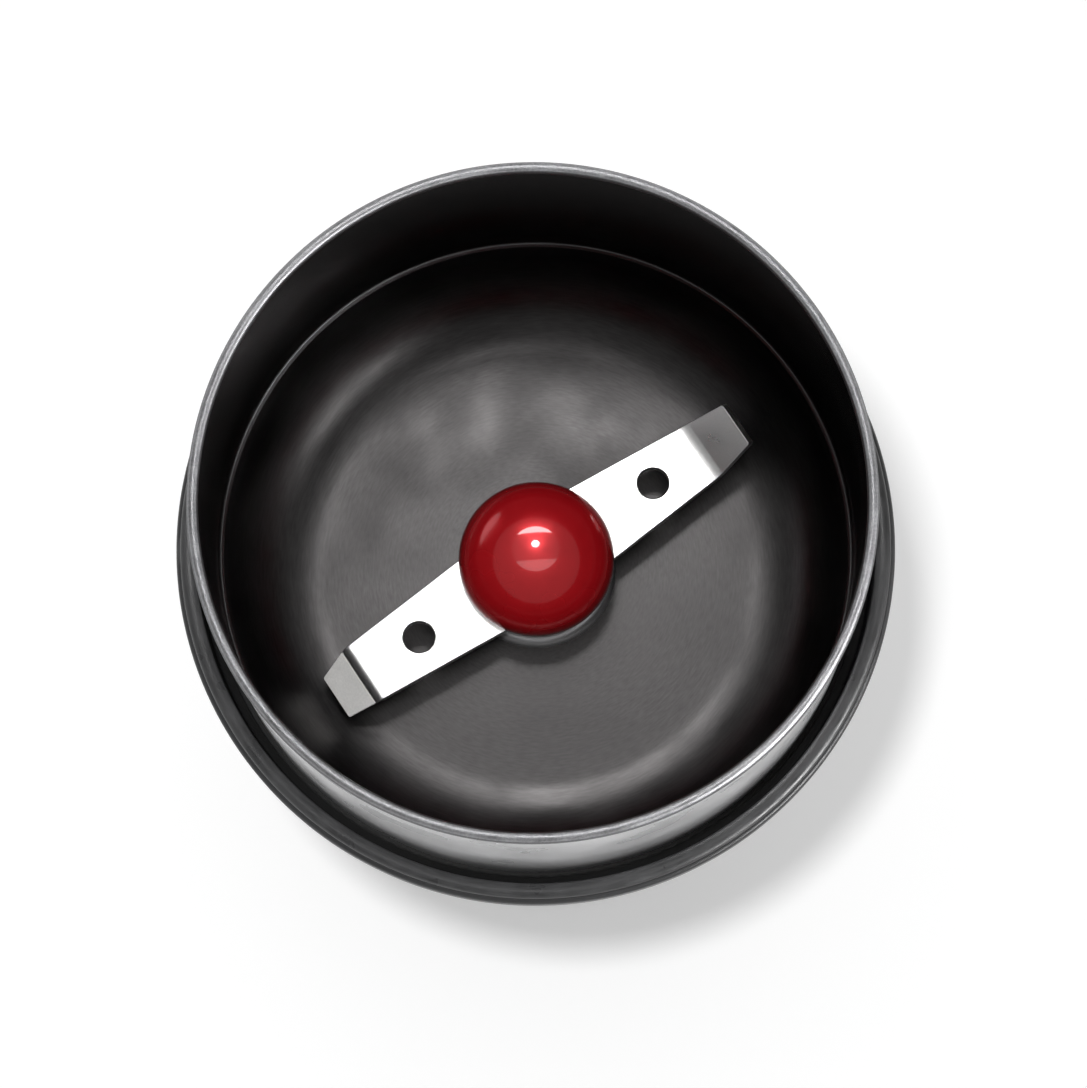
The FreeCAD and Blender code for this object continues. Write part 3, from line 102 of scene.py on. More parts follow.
class Graph:
    """Shader nodes of a material or world, each added, set up and wired in one call."""

    def __init__(self, owner: bpy.types.ID, empty: bool = True) -> None:
        """Open the owner's node tree.

        Args:
            owner: The material or world.
            empty: Whether the nodes that it starts with are removed.
        """
        owner.use_nodes = True
        self.tree = owner.node_tree
        if empty:
            self.tree.nodes.clear()

    def feed(self, node: bpy.types.Node, inputs: dict[str | int, Any]) -> None:
        """Fill a node's inputs.

        Args:
            node: The node.
            inputs: A socket, number, colour or vector for each input's name or index.
        """
        for key, value in inputs.items():
            socket = node.inputs[key]
            if isinstance(value, Socket):
                self.tree.links.new(value, socket)
            else:
                socket.default_value = (*value, 1.0) if socket.type == "RGBA" else value

    def add(self, kind: str, output: str | int, inputs: dict[str | int, Any] | None = None,
            **settings: str) -> Socket:
        """Add a node.

        Args:
            kind: Its type, without the prefix.
            output: Name or index of the wanted output.
            inputs: What its inputs get.
            **settings: Its own settings.

        Returns:
            The wanted output.
        """
        node = self.tree.nodes.new("ShaderNode" + kind)
        for key, value in settings.items():
            setattr(node, key, value)
        self.feed(node, inputs or {})
        return node.outputs[output]

    def end(self, kind: str, surface: Socket) -> None:
        """Add the output node of a material or world."""
        self.feed(self.tree.nodes.new("ShaderNodeOutput" + kind), {"Surface": surface})

    def place(self) -> Socket:
        """Object coordinates in metres."""
        return self.add("TexCoord", "Object")

    def part(self, vector: Socket, axis: str) -> Socket:
        """One part of a vector: X, Y or Z."""
        return self.add("SeparateXYZ", axis, {"Vector": vector})

    def math(self, operation: str, *values: Socket | float) -> Socket:
        """The result of a math node."""
        return self.add("Math", "Value", dict(enumerate(values)), operation=operation)

    def noise(self, place: Socket, scale: float, detail: float) -> Socket:
        """A noise from 0 to 1, with a scale in features per unit and its octaves."""
        return self.add("TexNoise", "Fac", {"Vector": place, "Scale": scale, "Detail": detail})

    def mix(self, factor: Socket, first: Socket | Triple, second: Triple) -> Socket:
        """A colour between two colours."""
        return self.add("Mix", 2, {"Factor": factor, 6: first, 7: second}, data_type="RGBA")

    def spread(self, value: Socket, low: float, high: float | Socket, start: float = 0.3, end: float = 0.7,
               **settings: str) -> Socket:
        """Spread a value between two limits.

        Args:
            value: The value.
            low: The result at start.
            high: The result at end.
            start: Where the spread starts.
            end: Where it ends.
            **settings: The node's own settings.

        Returns:
            The result.
        """
        inputs = {"Value": value, "From Min": start, "From Max": end, "To Min": low, "To Max": high}
        return self.add("MapRange", "Result", inputs, **settings)

    def mirror_switch(self) -> Socket:
        """One for camera, glossy and transmitted rays, zero for the rest."""
        seen = [self.add("LightPath", f"Is {kind} Ray") for kind in ("Camera", "Glossy", "Transmission")]
        return self.math("MAXIMUM", self.math("MAXIMUM", seen[0], seen[1]), seen[2])


@dataclass(frozen=True)
class Finish:
    """A surface finish, built from nodes on object coordinates. Its lengths are in millimetres."""

    name: str
    colour: Triple
    metallic: float = 0.0
    roughness: float = 0.4
    pattern: Pattern = Pattern.GRAIN
    lathe: Lathe = Lathe.SHAFT
    pitch: float = 0.4
    relief: float = 0.004
    tone: float = 0.12
    smear: float = 0.08
    smear_size: float = 12.0
    coat: float = 0.0
    coat_roughness: float = 0.05
    specular: float = 0.5
    edge: float = 0.0

    def material(self) -> bpy.types.Material:
        """This finish's material, made on first use."""
        return bpy.data.materials.get(self.name) or self._build()

    def _build(self) -> bpy.types.Material:
        """Build the material.

        Returns:
            The new material.
        """
        material = bpy.data.materials.new(self.name)
        graph = Graph(material, empty=False)
        marks = self._marks(graph, graph.place())
        cloud = graph.noise(graph.place(), 1 / (self.smear_size * MM), 3.0)
        inputs = {
            "Base Color": self._tint(graph, marks, cloud),
            "Metallic": self.metallic,
            "Roughness": graph.spread(cloud, self.roughness - self.smear, self.roughness + self.smear),
            "Specular IOR Level": self.specular,
            "Coat Weight": self.coat,
            "Coat Roughness": self.coat_roughness,
        }
        if self.relief:
            inputs["Normal"] = graph.add("Bump", "Normal", {"Distance": self.relief * MM, "Height": marks})
        graph.feed(graph.tree.nodes["Principled BSDF"], inputs)
        return material

    def _tint(self, graph: Graph, marks: Socket, cloud: Socket) -> Socket:
        """The colour, varied by the marks, by soft clouds and by wear along the edges.

        Args:
            graph: The material's nodes.
            marks: The fine pattern's value.
            cloud: The soft pattern's value.

        Returns:
            The colour.
        """
        dark, light = (tuple(part * (1 + side * self.tone) for part in self.colour) for side in (-1, 1))
        both = graph.math("ADD", marks, cloud)
        colour = graph.mix(graph.spread(both, 0.0, 1.0, *TONE_SPREAD), dark, light)
        if self.edge:
            worn = graph.spread(graph.add("NewGeometry", "Pointiness"), 0.0, 1.0, *WEAR_SPREAD)
            bare = tuple(part * WEAR_GAIN + WEAR_LIFT for part in self.colour)
            colour = graph.mix(graph.math("MULTIPLY", worn, self.edge), colour, bare)
        return colour

    def _marks(self, graph: Graph, place: Socket) -> Socket:
        """The fine pattern that this finish's Pattern names.

        Args:
            graph: The material's nodes.
            place: Object coordinates.

        Returns:
            A value from 0 to 1.
        """
        pitch = self.pitch * MM
        if self.pattern is Pattern.GRAIN:
            return graph.noise(place, 1 / pitch, 4.0)
        if self.pattern in (Pattern.LAYERED, Pattern.WOUND):
            inputs = {"Vector": place, "Scale": BAND_SCALE / pitch, "Distortion": BAND_WANDER}
            return graph.add("TexWave", "Fac", inputs,
                             bands_direction="Z" if self.pattern is Pattern.LAYERED else "DIAGONAL")
        if self.pattern is Pattern.TURNED:
            place = self._lathe_coordinates(graph, place)
        scale = tuple(part / pitch for part in STRETCH[self.pattern])
        return graph.noise(graph.add("Mapping", "Vector", {"Vector": place, "Scale": scale}), 1.0, 3.0)

    def _lathe_coordinates(self, graph: Graph, place: Socket) -> Socket:
        """Radius, height and a slow turn about the lathe's axis.

        Args:
            graph: The material's nodes.
            place: Object coordinates.

        Returns:
            The vector (radius, height, turn).
        """
        axes = "XYZ"
        if self.lathe is Lathe.BUTTON:
            axes = "XZY"
            low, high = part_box("power_button")
            shift = (0, 0, -(low.z + high.z) / 2)
            place = graph.add("Mapping", "Vector", {"Vector": place, "Location": shift})
        across, aside, along = (graph.part(place, axis) for axis in axes)
        squares = (graph.math("MULTIPLY", value, value) for value in (across, aside))
        radius = graph.math("SQRT", graph.math("ADD", *squares))
        turn = graph.math("ARCTAN2", aside, across)
        return graph.add("CombineXYZ", "Vector", {"X": radius, "Y": along, "Z": turn})


@dataclass(frozen=True)
class Finishes:
    """Every finish of the grinder."""

    # Partly painted reflection: the polished steel is mixed with a matt near-white, which the lamps light to
    # the pale tone that a reflection of the floor gives
    wall_outside: Finish = Finish("polished_wall", (0.86, 0.86, 0.87), 0.4, 0.3, Pattern.TURNED, pitch=0.5,
        relief=0.0004, tone=0.06, smear=0.05)
    rim_bead: Finish = Finish("rim_satin", (0.3, 0.3, 0.31), 1.0, 0.46, pitch=0.3, relief=0.01, tone=0.35,
        smear=0.08, smear_size=3)
    # Painted shade: a darker steel on the bead's steep sides, for a dark line along each side of the rim
    rim_shadow: Finish = Finish("rim_edge_painted_shade", (0.14, 0.14, 0.145), 1.0, 0.5, pitch=0.3, relief=0.004,
        tone=0.3)
    # Painted shade: the inner wall above the step is steel coloured near black, so it looks as dark as a
    # shaded bowl
    wall_inside_painted_shade: Finish = Finish("inner_wall_painted_shade", (0.055, 0.053, 0.055), 1.0, 0.12, Pattern.TURNED,
        pitch=0.6, relief=0.0008, tone=0.25, smear=0.04)
    # Painted shade: the lower inner wall and the floor are steel coloured dark, so they read as a shaded bowl
    bowl_lower_painted_shade: Finish = Finish("bowl_floor_painted_shade", (0.07, 0.067, 0.067), 1.0, 0.36, Pattern.TURNED,
        pitch=0.25, relief=0.004, tone=0.25, smear=0.08)
    # Painted shade and painted highlight: the step is dark steel, a little lighter than the walls beside it,
    # for the thin bright line along the step
    bowl_step_painted_shade_and_highlight: Finish = Finish("step_painted_shade_and_highlight", (0.1, 0.1, 0.102), 1.0, 0.4, Pattern.TURNED, pitch=0.2,
        relief=0.002, tone=0.15, smear=0.06)
    collar: Finish = Finish("collar_satin_black", (0.03, 0.03, 0.031), 0.0, 0.36, Pattern.TURNED, pitch=0.16,
        relief=0.008, tone=0.5, smear=0.12, smear_size=4, specular=0.6)
    # Painted shade: a darker, duller copy of the collar's black plastic for the ring below its lip, where the
    # recess lies in shade
    recess: Finish = Finish("recess_painted_shade", (0.006, 0.006, 0.006), 0.0, 0.6, pitch=0.3, relief=0.004,
        tone=0.2, smear=0.08, specular=0.25)
    housing: Finish = Finish("housing_black", (0.02, 0.02, 0.021), 0.0, 0.38, pitch=0.22, relief=0.012,
        tone=0.2, smear=0.07, edge=0.25)
    gloss_black: Finish = Finish("button_gloss_black", (0.02, 0.02, 0.022), 0.0, 0.16,
        Pattern.TURNED, Lathe.BUTTON, 0.3, 0.0008, 0.15, 0.05, coat=0.4)
    bezel: Finish = Finish("bezel_polished", (0.8, 0.8, 0.81), 1.0, 0.14, Pattern.TURNED, Lathe.BUTTON, 0.14,
        0.002, 0.08, 0.05)
    blade: Finish = Finish("blade_ground", (0.9, 0.9, 0.89), 1.0, 0.3, Pattern.GROUND, pitch=0.14,
        relief=0.0025, tone=0.06, smear=0.04, smear_size=5)
    blade_tip: Finish = Finish("blade_tip_satin", (0.84, 0.83, 0.81), 0.35, 0.4, pitch=0.3, relief=0.004,
        tone=0.1, smear=0.08, smear_size=3)
    cap: Finish = Finish("cap_red_gloss", (0.4, 0.006, 0.01), 0.5, 0.26, pitch=1.6, relief=0.0012, tone=0.06,
        smear=0.03, coat=1.0, coat_roughness=0.03, specular=0.3)
    rubber: Finish = Finish("black_rubber", (0.018, 0.018, 0.018), 0.0, 0.75, pitch=0.3, relief=0.02,
        tone=0.3, smear=0.1)
    turned_steel: Finish = Finish("turned_steel", (0.5, 0.5, 0.51), 1.0, 0.3, Pattern.TURNED, pitch=0.16,
        relief=0.004, tone=0.12, smear=0.06)
    zinc: Finish = Finish("zinc_plate", (0.62, 0.63, 0.66), 1.0, 0.34, pitch=0.7, relief=0.003, tone=0.12,
        smear=0.12, smear_size=4)
    spring: Finish = Finish("spring_wire", (0.45, 0.45, 0.47), 1.0, 0.3, Pattern.DRAWN, pitch=0.1,
        relief=0.003)
    sheets: Finish = Finish("stacked_sheets", (0.24, 0.25, 0.27), 1.0, 0.45, Pattern.LAYERED, pitch=0.5,
        relief=0.05, tone=0.35)
    copper: Finish = Finish("enamelled_copper", (0.72, 0.3, 0.12), 1.0, 0.25, Pattern.WOUND, pitch=0.5,
        relief=0.12, tone=0.3, coat=0.6)
    commutator: Finish = Finish("commutator_copper", (0.78, 0.42, 0.24), 1.0, 0.3, Pattern.TURNED, pitch=0.12,
        relief=0.004, tone=0.15)
    bronze: Finish = Finish("sintered_bronze", (0.5, 0.33, 0.16), 1.0, 0.5, pitch=0.15, relief=0.02,
        tone=0.25)
    brass: Finish = Finish("stamped_brass", (0.78, 0.6, 0.28), 1.0, 0.3, Pattern.DRAWN, pitch=0.14,
        relief=0.003)
    carbon: Finish = Finish("brush_carbon", (0.03, 0.03, 0.032), 0.0, 0.55, pitch=0.12, relief=0.015,
        tone=0.3)
    nylon: Finish = Finish("natural_nylon", (0.74, 0.71, 0.62), 0.0, 0.45, pitch=0.5, relief=0.006, tone=0.06)
    fibre: Finish = Finish("pressed_fibre", (0.32, 0.18, 0.1), 0.0, 0.7, pitch=0.18, relief=0.02, tone=0.3)
    dark_case: Finish = Finish("switch_case", (0.03, 0.03, 0.032), 0.0, 0.42, pitch=0.25, relief=0.008)
    amber_case: Finish = Finish("capacitor_case", (0.62, 0.42, 0.05), 0.0, 0.3, pitch=0.5, relief=0.005,
        coat=0.3)
    pale_case: Finish = Finish("cutout_case", (0.62, 0.62, 0.6), 0.0, 0.55, pitch=0.3, relief=0.01)
    cover: Finish = Finish("lead_cover", (0.75, 0.75, 0.73), 0.0, 0.4, pitch=0.5, relief=0.004, coat=0.2)


FINISHES = Finishes()


class Workbench:
    """Modelling steps on the active mesh, with Blender's own operators."""

    @staticmethod
    def clear() -> None:
        """Leave nothing selected."""
        for obj in bpy.context.selected_objects:
            obj.select_set(False)

    @classmethod
    def hold(cls, obj: Piece) -> None:
        """Make one object the only selected and active one."""
        cls.clear()
        obj.select_set(True)
        bpy.context.view_layer.objects.active = obj

    @classmethod
    def settle(cls, obj: Piece) -> Piece:
        """Apply an object's place, turn and scale to its mesh.

        Args:
            obj: The object.

        Returns:
            The same object.
        """
        cls.hold(obj)
        bpy.ops.object.transform_apply(location=True, rotation=True, scale=True)
        return obj

    @classmethod
    def take(cls, name: str) -> Piece:
        """Name the object that was just added and settle it.

        Args:
            name: The piece's name.

        Returns:
            The piece.
        """
        obj = bpy.context.object
        obj.name = obj.data.name = name
        return cls.settle(obj)

    @classmethod
    def face_front(cls, obj: Piece, front: float, level: float) -> None:
        """Turn a piece made along -Z to face -Y, with its front at a place.

        Args:
            obj: The piece, with its front at Z = 0.
            front: Y of the front.
            level: Z of the axis.
        """
        obj.rotation_euler = (-math.pi / 2, 0, 0)
        obj.location = (0, front, level)
        cls.settle(obj)

    @classmethod
    @contextmanager
    def editing(cls, obj: Piece) -> Iterator[None]:
        """Keep a piece in edit mode for as long as the block runs."""
        cls.hold(obj)
        bpy.ops.object.mode_set(mode="EDIT")
        yield
        bpy.ops.object.mode_set(mode="OBJECT")

    @classmethod
    @contextmanager
    def picking(cls, obj: Piece, kind: str, wanted: Callable[[Any], bool]) -> Iterator[None]:
        """Edit a piece with only those parts selected that a test names.

        Args:
            obj: The piece.
            kind: Its vertices or polygons.
            wanted: The test.
        """
        with cls.editing(obj):
            bpy.ops.mesh.select_mode(type="VERT")
            bpy.ops.mesh.select_all(action="DESELECT")
        for part in getattr(obj.data, kind):
            part.select = wanted(part)
        with cls.editing(obj):
            yield

    @staticmethod
    def weld() -> None:
        """Select the whole piece in edit mode and merge what lies together."""
        bpy.ops.mesh.select_all(action="SELECT")
        bpy.ops.mesh.remove_doubles(threshold=WELD)

    @classmethod
    def turned(cls, name: str, outline: Sequence[Point], steps: int, start: float = 0.0,
               closed: bool = True) -> Piece:
        """Draw an outline point by point and spin it round the Z axis.

        Args:
            name: The piece's name.
            outline: Radius and height of each point.
            steps: Segments round the axis.
            start: Angle of the outline's plane.
            closed: Whether the outline's end meets its start.

        Returns:
            The spun piece.
        """
        cls.clear()
        along = Vector((math.cos(start), math.sin(start), 0))
        points = [along * r + Vector((0, 0, z)) for r, z in outline]
        stops = points[1:] + (points[:1] if closed else [])
        bpy.ops.mesh.primitive_plane_add(size=MM, location=points[0])
        obj = cls.take(name)
        with cls.editing(obj):
            bpy.ops.mesh.select_all(action="SELECT")
            bpy.ops.mesh.merge(type="CENTER")
            for before, after in zip(points, stops):
                bpy.ops.mesh.extrude_vertices_move(TRANSFORM_OT_translate={"value": after - before})
            cls.weld()
            bpy.ops.mesh.select_all(action="SELECT")
            bpy.ops.mesh.spin(steps=steps, angle=FULL_TURN, center=(0, 0, 0), axis=(0, 0, 1))
            cls.weld()
            bpy.ops.mesh.normals_make_consistent(inside=False)
        return obj

    @classmethod
    def modify(cls, obj: Piece, kind: str, **settings: Any) -> Piece:
        """Add a modifier, set it up and apply it.

        Args:
            obj: The piece.
            kind: The modifier's type.
            **settings: Its settings.

        Returns:
            The same piece.
        """
        cls.hold(obj)
        modifier = obj.modifiers.new(kind.lower(), kind)
        for key, value in settings.items():
            setattr(modifier, key, value)
        bpy.ops.object.modifier_apply(modifier=modifier.name)
        return obj

    @classmethod
    def even(cls, obj: Piece) -> Piece:
        """Let a piece's large flat faces keep their own normals beside its small bevels."""
        return cls.modify(obj, "WEIGHTED_NORMAL", keep_sharp=True, weight=100)

    @classmethod
    def thicken(cls, obj: Piece, wall: float) -> Piece:
        """Give a skin its wall, inwards or downwards."""
        return cls.modify(obj, "SOLIDIFY", thickness=wall, offset=-1.0, use_even_offset=True)

    @classmethod
    def ease(cls, obj: Piece, width: float) -> Piece:
        """Round a piece's sharp edges."""
        return cls.modify(obj, "BEVEL", width=width, segments=2, limit_method="ANGLE",
                          angle_limit=SMOOTH_ANGLE, harden_normals=False)

    @classmethod
    def drill(cls, obj: Piece, radius: float, length: float, middle: Vector, axis: Triple = (0, 0, 1),
              sides: int = HOLE_SIDES) -> None:
        """Cut a round hole.

        Args:
            obj: The piece.
            radius: The hole's radius.
            length: The drill's length.
            middle: The drill's middle.
            axis: Its direction.
            sides: Its sides.
        """
        cls.clear()
        bpy.ops.mesh.primitive_cylinder_add(vertices=sides, radius=radius, depth=length)
        cutter = bpy.context.object
        cutter.rotation_mode = "QUATERNION"
        cutter.rotation_quaternion = Vector((0, 0, 1)).rotation_difference(Vector(axis))
        cutter.location = middle
        cls.take("drill")
        cls.modify(obj, "BOOLEAN", object=cutter, operation="DIFFERENCE", solver="EXACT")
        bpy.data.objects.remove(cutter)

    @classmethod
    def dress(cls, obj: Piece, *finishes: Finish, angle: float = SMOOTH_ANGLE,
              choose: Callable[[Vector, Vector], int] | None = None) -> None:
        """Give a piece its finishes and shade it smoothly, apart from its sharp edges.

        Args:
            obj: The piece.
            *finishes: The finishes, in slot order.
            angle: Edges sharper than this stay sharp.
            choose: Gives the finish's index for a face's centre and normal.
        """
        cls.recolour(obj, *finishes)
        if choose:
            for face in obj.data.polygons:
                face.material_index = choose(face.center, face.normal)
        cls.hold(obj)
        bpy.ops.object.shade_smooth_by_angle(angle=angle)

    @staticmethod
    def recolour(obj: Piece, *finishes: Finish) -> None:
        """Give a piece its finishes, the first one on all its faces."""
        obj.data.materials.clear()
        for finish in finishes:
            obj.data.materials.append(finish.material())


def arc(centre: Point, radius: float, start: float, end: float, count: int) -> list[Point]:
    """Points along an arc, both ends included, with angles in degrees from the outward direction."""
    angles = [math.radians(start + (end - start) * index / (count - 1)) for index in range(count)]
    return [(centre[0] + radius * math.cos(turn), centre[1] + radius * math.sin(turn)) for turn in angles]


def run(start: Point, end: Point, count: int) -> list[Point]:
    """Points along a straight line, without its start."""
    shares = [(index + 1) / count for index in range(count)]
    return [(start[0] + (end[0] - start[0]) * s, start[1] + (end[1] - start[1]) * s) for s in shares]


def radius_of(place: Vector) -> float:
    """Distance of a point from the shaft's axis."""
    return math.hypot(place.x, place.y)


def finish_piece(obj: Piece, body: str, slot: str, *nodes: str) -> None:
    """Settle a finished piece in the frame.

    Args:
        obj: The piece.
        body: The body that it rides on.
        slot: The record's material slot; not used.
        *nodes: The nodes that it stands for.
    """
    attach(obj, body)
    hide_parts(*nodes)
    log.info("%s: %d faces on %s", obj.name, len(obj.data.polygons), body)


@dataclass
class GrindingBowl:
    """Pressed steel bowl with a rolled rim, a step in its wall and a round-cornered floor."""

    sheet: float = 0.8 * MM
    corner: float = 12 * MM
    lower: float = 40.25 * MM
    step_out: float = 0.45 * MM
    draw: float = 0.9 * MM
    step_drop: float = 37.65 * MM
    step_height: float = 0.35 * MM
    bead: float = 0.7 * MM
    bead_shift: float = 0.125 * MM
    rim_turn: float = 0.8
    bead_share: float = 0.9
    step_share: float = 0.6
    hub_hole: float = 7.0 * MM
    steps: int = 256

    def build(self) -> None:
        """Spin the bowl's section and dress it."""
        low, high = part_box("grinding_bowl")
        under, rim = low.z, high.z
        floor = under + self.sheet
        step = rim - self.step_drop
        step_low = step - self.step_height
        turn = self.step_height / 2
        upper = self.lower + self.step_out
        mouth = upper - self.draw
        bead_level = rim - self.bead
        bead_centre = mouth + self.sheet / 2 + self.bead_shift
        outer_gap = math.degrees(math.acos((mouth + self.sheet - bead_centre) / self.bead))
        inner_gap = math.degrees(math.acos((bead_centre - mouth) / self.bead))
        corner_level = floor + self.corner
        centre = self.lower - self.corner
        corner = (centre, corner_level)
        section = [(self.hub_hole, under), (centre, under)]
        section += arc(corner, self.corner + self.sheet, -90, 0, 17)[1:]
        section += run(section[-1], (self.lower + self.sheet, step_low - self.sheet / 2), 2)
        section += [(upper + self.sheet, step - self.sheet / 2)]
        bead_foot = bead_level - self.bead * math.sin(math.radians(outer_gap))
        section += run(section[-1], (mouth + self.sheet, bead_foot), 8)
        section += arc((bead_centre, bead_level), self.bead, -outer_gap, 180 + inner_gap, 25)[1:]
        section += run(section[-1], (upper, step + turn), 8)
        section += arc((upper - turn, step + turn), turn, 0, -90, 5)[1:]
        section += [(self.lower, step_low), (self.lower, step_low - self.step_height)]
        section += run(section[-1], (self.lower, corner_level), 2)
        section += arc(corner, self.corner, 0, -90, 25)[1:]
        section += run(section[-1], (self.hub_hole, floor), 10)
        bowl = Workbench.turned("bowl_pressing", section, self.steps)
        bead_inner = mouth + self.sheet / 2 - self.bead * self.bead_share

        def choose(place: Vector, normal: Vector) -> int:
            """Tell the bowl's outside, bead, inside and floor apart."""
            outward = normal.x * place.x + normal.y * place.y
            if place.z > bead_level - self.bead and radius_of(place) > bead_inner:
                # The bead's steep sides get the darker painted-shade steel, its top the satin steel
                return 5 if abs(outward) > self.rim_turn * radius_of(place) else 1
            if outward > 0 and radius_of(place) > self.lower + self.sheet / 2:
                return 0
            # The bowl's inside is painted shade: near-black steel above the step, a slightly lighter painted
            # line on the step, dark steel below
            if place.z > step + turn:
                return 2
            if place.z > step_low - self.step_height * self.step_share:
                return 3
            return 4 if place.z > under + self.sheet / 2 else 0

        Workbench.dress(bowl, FINISHES.wall_outside, FINISHES.rim_bead, FINISHES.wall_inside_painted_shade,
                        FINISHES.bowl_step_painted_shade_and_highlight, FINISHES.bowl_lower_painted_shade, FINISHES.rim_shadow, choose=choose)
        finish_piece(bowl, "base_unit", "polished_steel", "grinding_bowl")


@dataclass
class CollarRing:
    """Satin ring on the shoulder: lip, shadow groove and the floor of the lid's recess."""

    lip_inner: float = 43.3 * MM
    lip_width: float = 1.95 * MM
    lip_height: float = 0.9 * MM
    lip_crown: float = 0.55 * MM
    recess_round: float = 0.35 * MM
    groove: float = 0.4 * MM
    groove_depth: float = 0.5 * MM
    tube: float = 0.95 * MM
    recess: float = 6.75 * MM
    inner: float = 42.15 * MM
    steps: int = 256

    def build(self) -> None:
        """Spin the ring's section and dress it."""
        low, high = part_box("collar_ring")
        outer = self.lip_inner + self.lip_width
        top = high.z
        lip_low = top - self.lip_height
        groove_low = lip_low - self.groove
        tube = self.lip_inner + self.tube
        turn = self.recess_round
        half = self.lip_width / 2
        crown = [(self.lip_inner + half + half * x, top - self.lip_crown * (1 - z))
                 for x, z in arc((0, 0), 1, 0, 180, 25)]
        section = [(self.inner, low.z), (tube, low.z), (tube, groove_low)]
        section += [(outer - self.groove_depth, groove_low), (outer - self.groove_depth, lip_low)]
        section += arc((outer - turn / 3, lip_low + turn / 3), turn / 3, -90, 0, 4)
        section += crown
        section += run(section[-1], (self.lip_inner, top - self.recess + turn), 4)
        section += arc((self.lip_inner - turn, top - self.recess + turn), turn, 0, -90, 5)[1:]
        section += [(self.inner, top - self.recess)]
        ring = Workbench.turned("collar_turning", section, self.steps)
        # Below the lip the ring gets the painted-shade black
        Workbench.dress(ring, FINISHES.collar, FINISHES.recess,
                        choose=lambda place, normal: 0 if place.z > lip_low else 1)
        finish_piece(ring, "base_unit", "satin_ring", "collar_ring")


@dataclass
class Shells:
    """The tapered housing and the shoulder shell above its seam."""

    foot: float = 38.6 * MM
    band_step: float = 0.9 * MM
    band_height: float = 3.4 * MM
    band_round: float = 0.6 * MM
    wall: float = 2.4 * MM
    skirt_round: float = 1.2 * MM
    groove: float = 0.3 * MM
    ledge: float = 2.4 * MM
    ledge_bore: float = 41.35 * MM
    collar_bore: float = 44.3 * MM
    vents: int = 24
    vent_height: float = 7.4 * MM
    vent_middle: float = 11.5 * MM
    vent_free_half: int = 2
    columns_per_vent: int = 6
    post_angles: tuple[float, ...] = (30.0, 150.0, 270.0)
    edge: float = 0.22 * MM
    cone_limit: float = math.radians(6)
    bezel_gap: float = 0.05 * MM
    inlet_overlap: float = 0.95 * MM
    shoulder: float = field(init=False)
    skirt: float = field(init=False)
    band_low: float = field(init=False)
    band_top: float = field(init=False)
    band: float = field(init=False)

    def __post_init__(self) -> None:
        """Read the levels from the frame."""
        low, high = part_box("shoulder_shell")
        self.band = high.x
        self.band_top = high.z
        self.band_low = high.z - self.band_height
        self.shoulder = self.band - self.band_step
        self.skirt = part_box("housing")[0].z

    def skin(self, z: float) -> float:
        """Outer radius of the taper at a height."""
        return self.foot + (self.shoulder - self.foot) * (z - self.skirt) / (self.band_low - self.skirt)

    def build(self) -> None:
        """Build both shells."""
        self.build_shoulder()
        self.build_housing()

    def build_shoulder(self) -> None:
        """Spin the shoulder shell's section."""
        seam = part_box("housing")[1].z
        ledge_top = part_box("collar_ring")[0].z
        ledge_low = ledge_top - self.ledge
        turn = self.band_round
        section = [(self.skin(seam) - self.groove, seam), (self.skin(seam), seam + self.groove)]
        section += run(section[-1], (self.shoulder - turn / 3, self.band_low), 6)
        section += [(self.shoulder, self.band_low + turn / 6)]
        section += run(section[-1], (self.band - turn / 3, self.band_low + turn * 0.7), 2)
        section += [(self.band, self.band_low + turn)]
        section += arc((self.band - turn, self.band_top - turn), turn, 0, 90, 9)
        section += [(self.collar_bore, self.band_top), (self.collar_bore, ledge_top)]
        section += [(self.ledge_bore, ledge_top), (self.ledge_bore, ledge_low)]
        section += [(self.skin(ledge_low) - self.wall, ledge_low), (self.skin(seam) - self.wall, seam)]
        shell = Workbench.turned("shoulder_moulding", section, self.vents * self.columns_per_vent * 2)
        Workbench.dress(shell, FINISHES.housing)
        finish_piece(shell, "base_unit", "black_housing", "shoulder_shell")

    def build_housing(self) -> None:
        """Spin the housing's skin, open its vents, give it a wall and cut its holes."""
        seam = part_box("housing")[1].z
        low = self.vent_middle - self.vent_height / 2
        high = self.vent_middle + self.vent_height / 2
        turn = self.skirt_round
        foot = self.skin(self.skirt + turn)
        section = arc((foot - turn, self.skirt + turn), turn, -90, 0, 6)
        for level, count in ((low, 1), (high, 1), (seam - self.groove, 36)):
            section += run(section[-1], (self.skin(level), level), count)
        section += [(self.skin(seam) - self.groove, seam)]
        steps = self.vents * self.columns_per_vent
        half_column = math.pi / steps
        shell = Workbench.turned("housing_moulding", section, steps, half_column, closed=False)
        self._open_vents(shell, low, high)
        Workbench.ease(Workbench.thicken(shell, self.wall), self.edge)
        self._cut_holes(shell)
        Workbench.dress(shell, FINISHES.housing)
        self._true_normals(shell)
        finish_piece(shell, "base_unit", "black_housing", "housing")

    def _true_normals(self, shell: Piece) -> None:
        """Shade the taper as a true cone, so that the openings leave no dents in its reflections.

        Args:
            shell: The housing.
        """
        lean = (self.skin(self.band_low) - self.skin(self.skirt)) / (self.band_low - self.skirt)
        mesh = shell.data
        normals = [Vector((0, 0, 0))] * len(mesh.loops)
        for face in mesh.polygons:
            for corner in face.loop_indices:
                place = mesh.vertices[mesh.loops[corner].vertex_index].co
                cone = Vector((place.x, place.y, -lean * radius_of(place))).normalized()
                if face.normal.dot(cone) > math.cos(self.cone_limit):
                    normals[corner] = cone
        mesh.normals_split_custom_set(normals)

    def _open_vents(self, shell: Piece, low: float, high: float) -> None:
        """Delete the faces where the vents are.

        Args:
            shell: The skin.
            low: The vents' lower ends.
            high: Their upper ends.
        """
        pitch = 360.0 / self.vents
        half_vent = pitch / self.columns_per_vent / 2

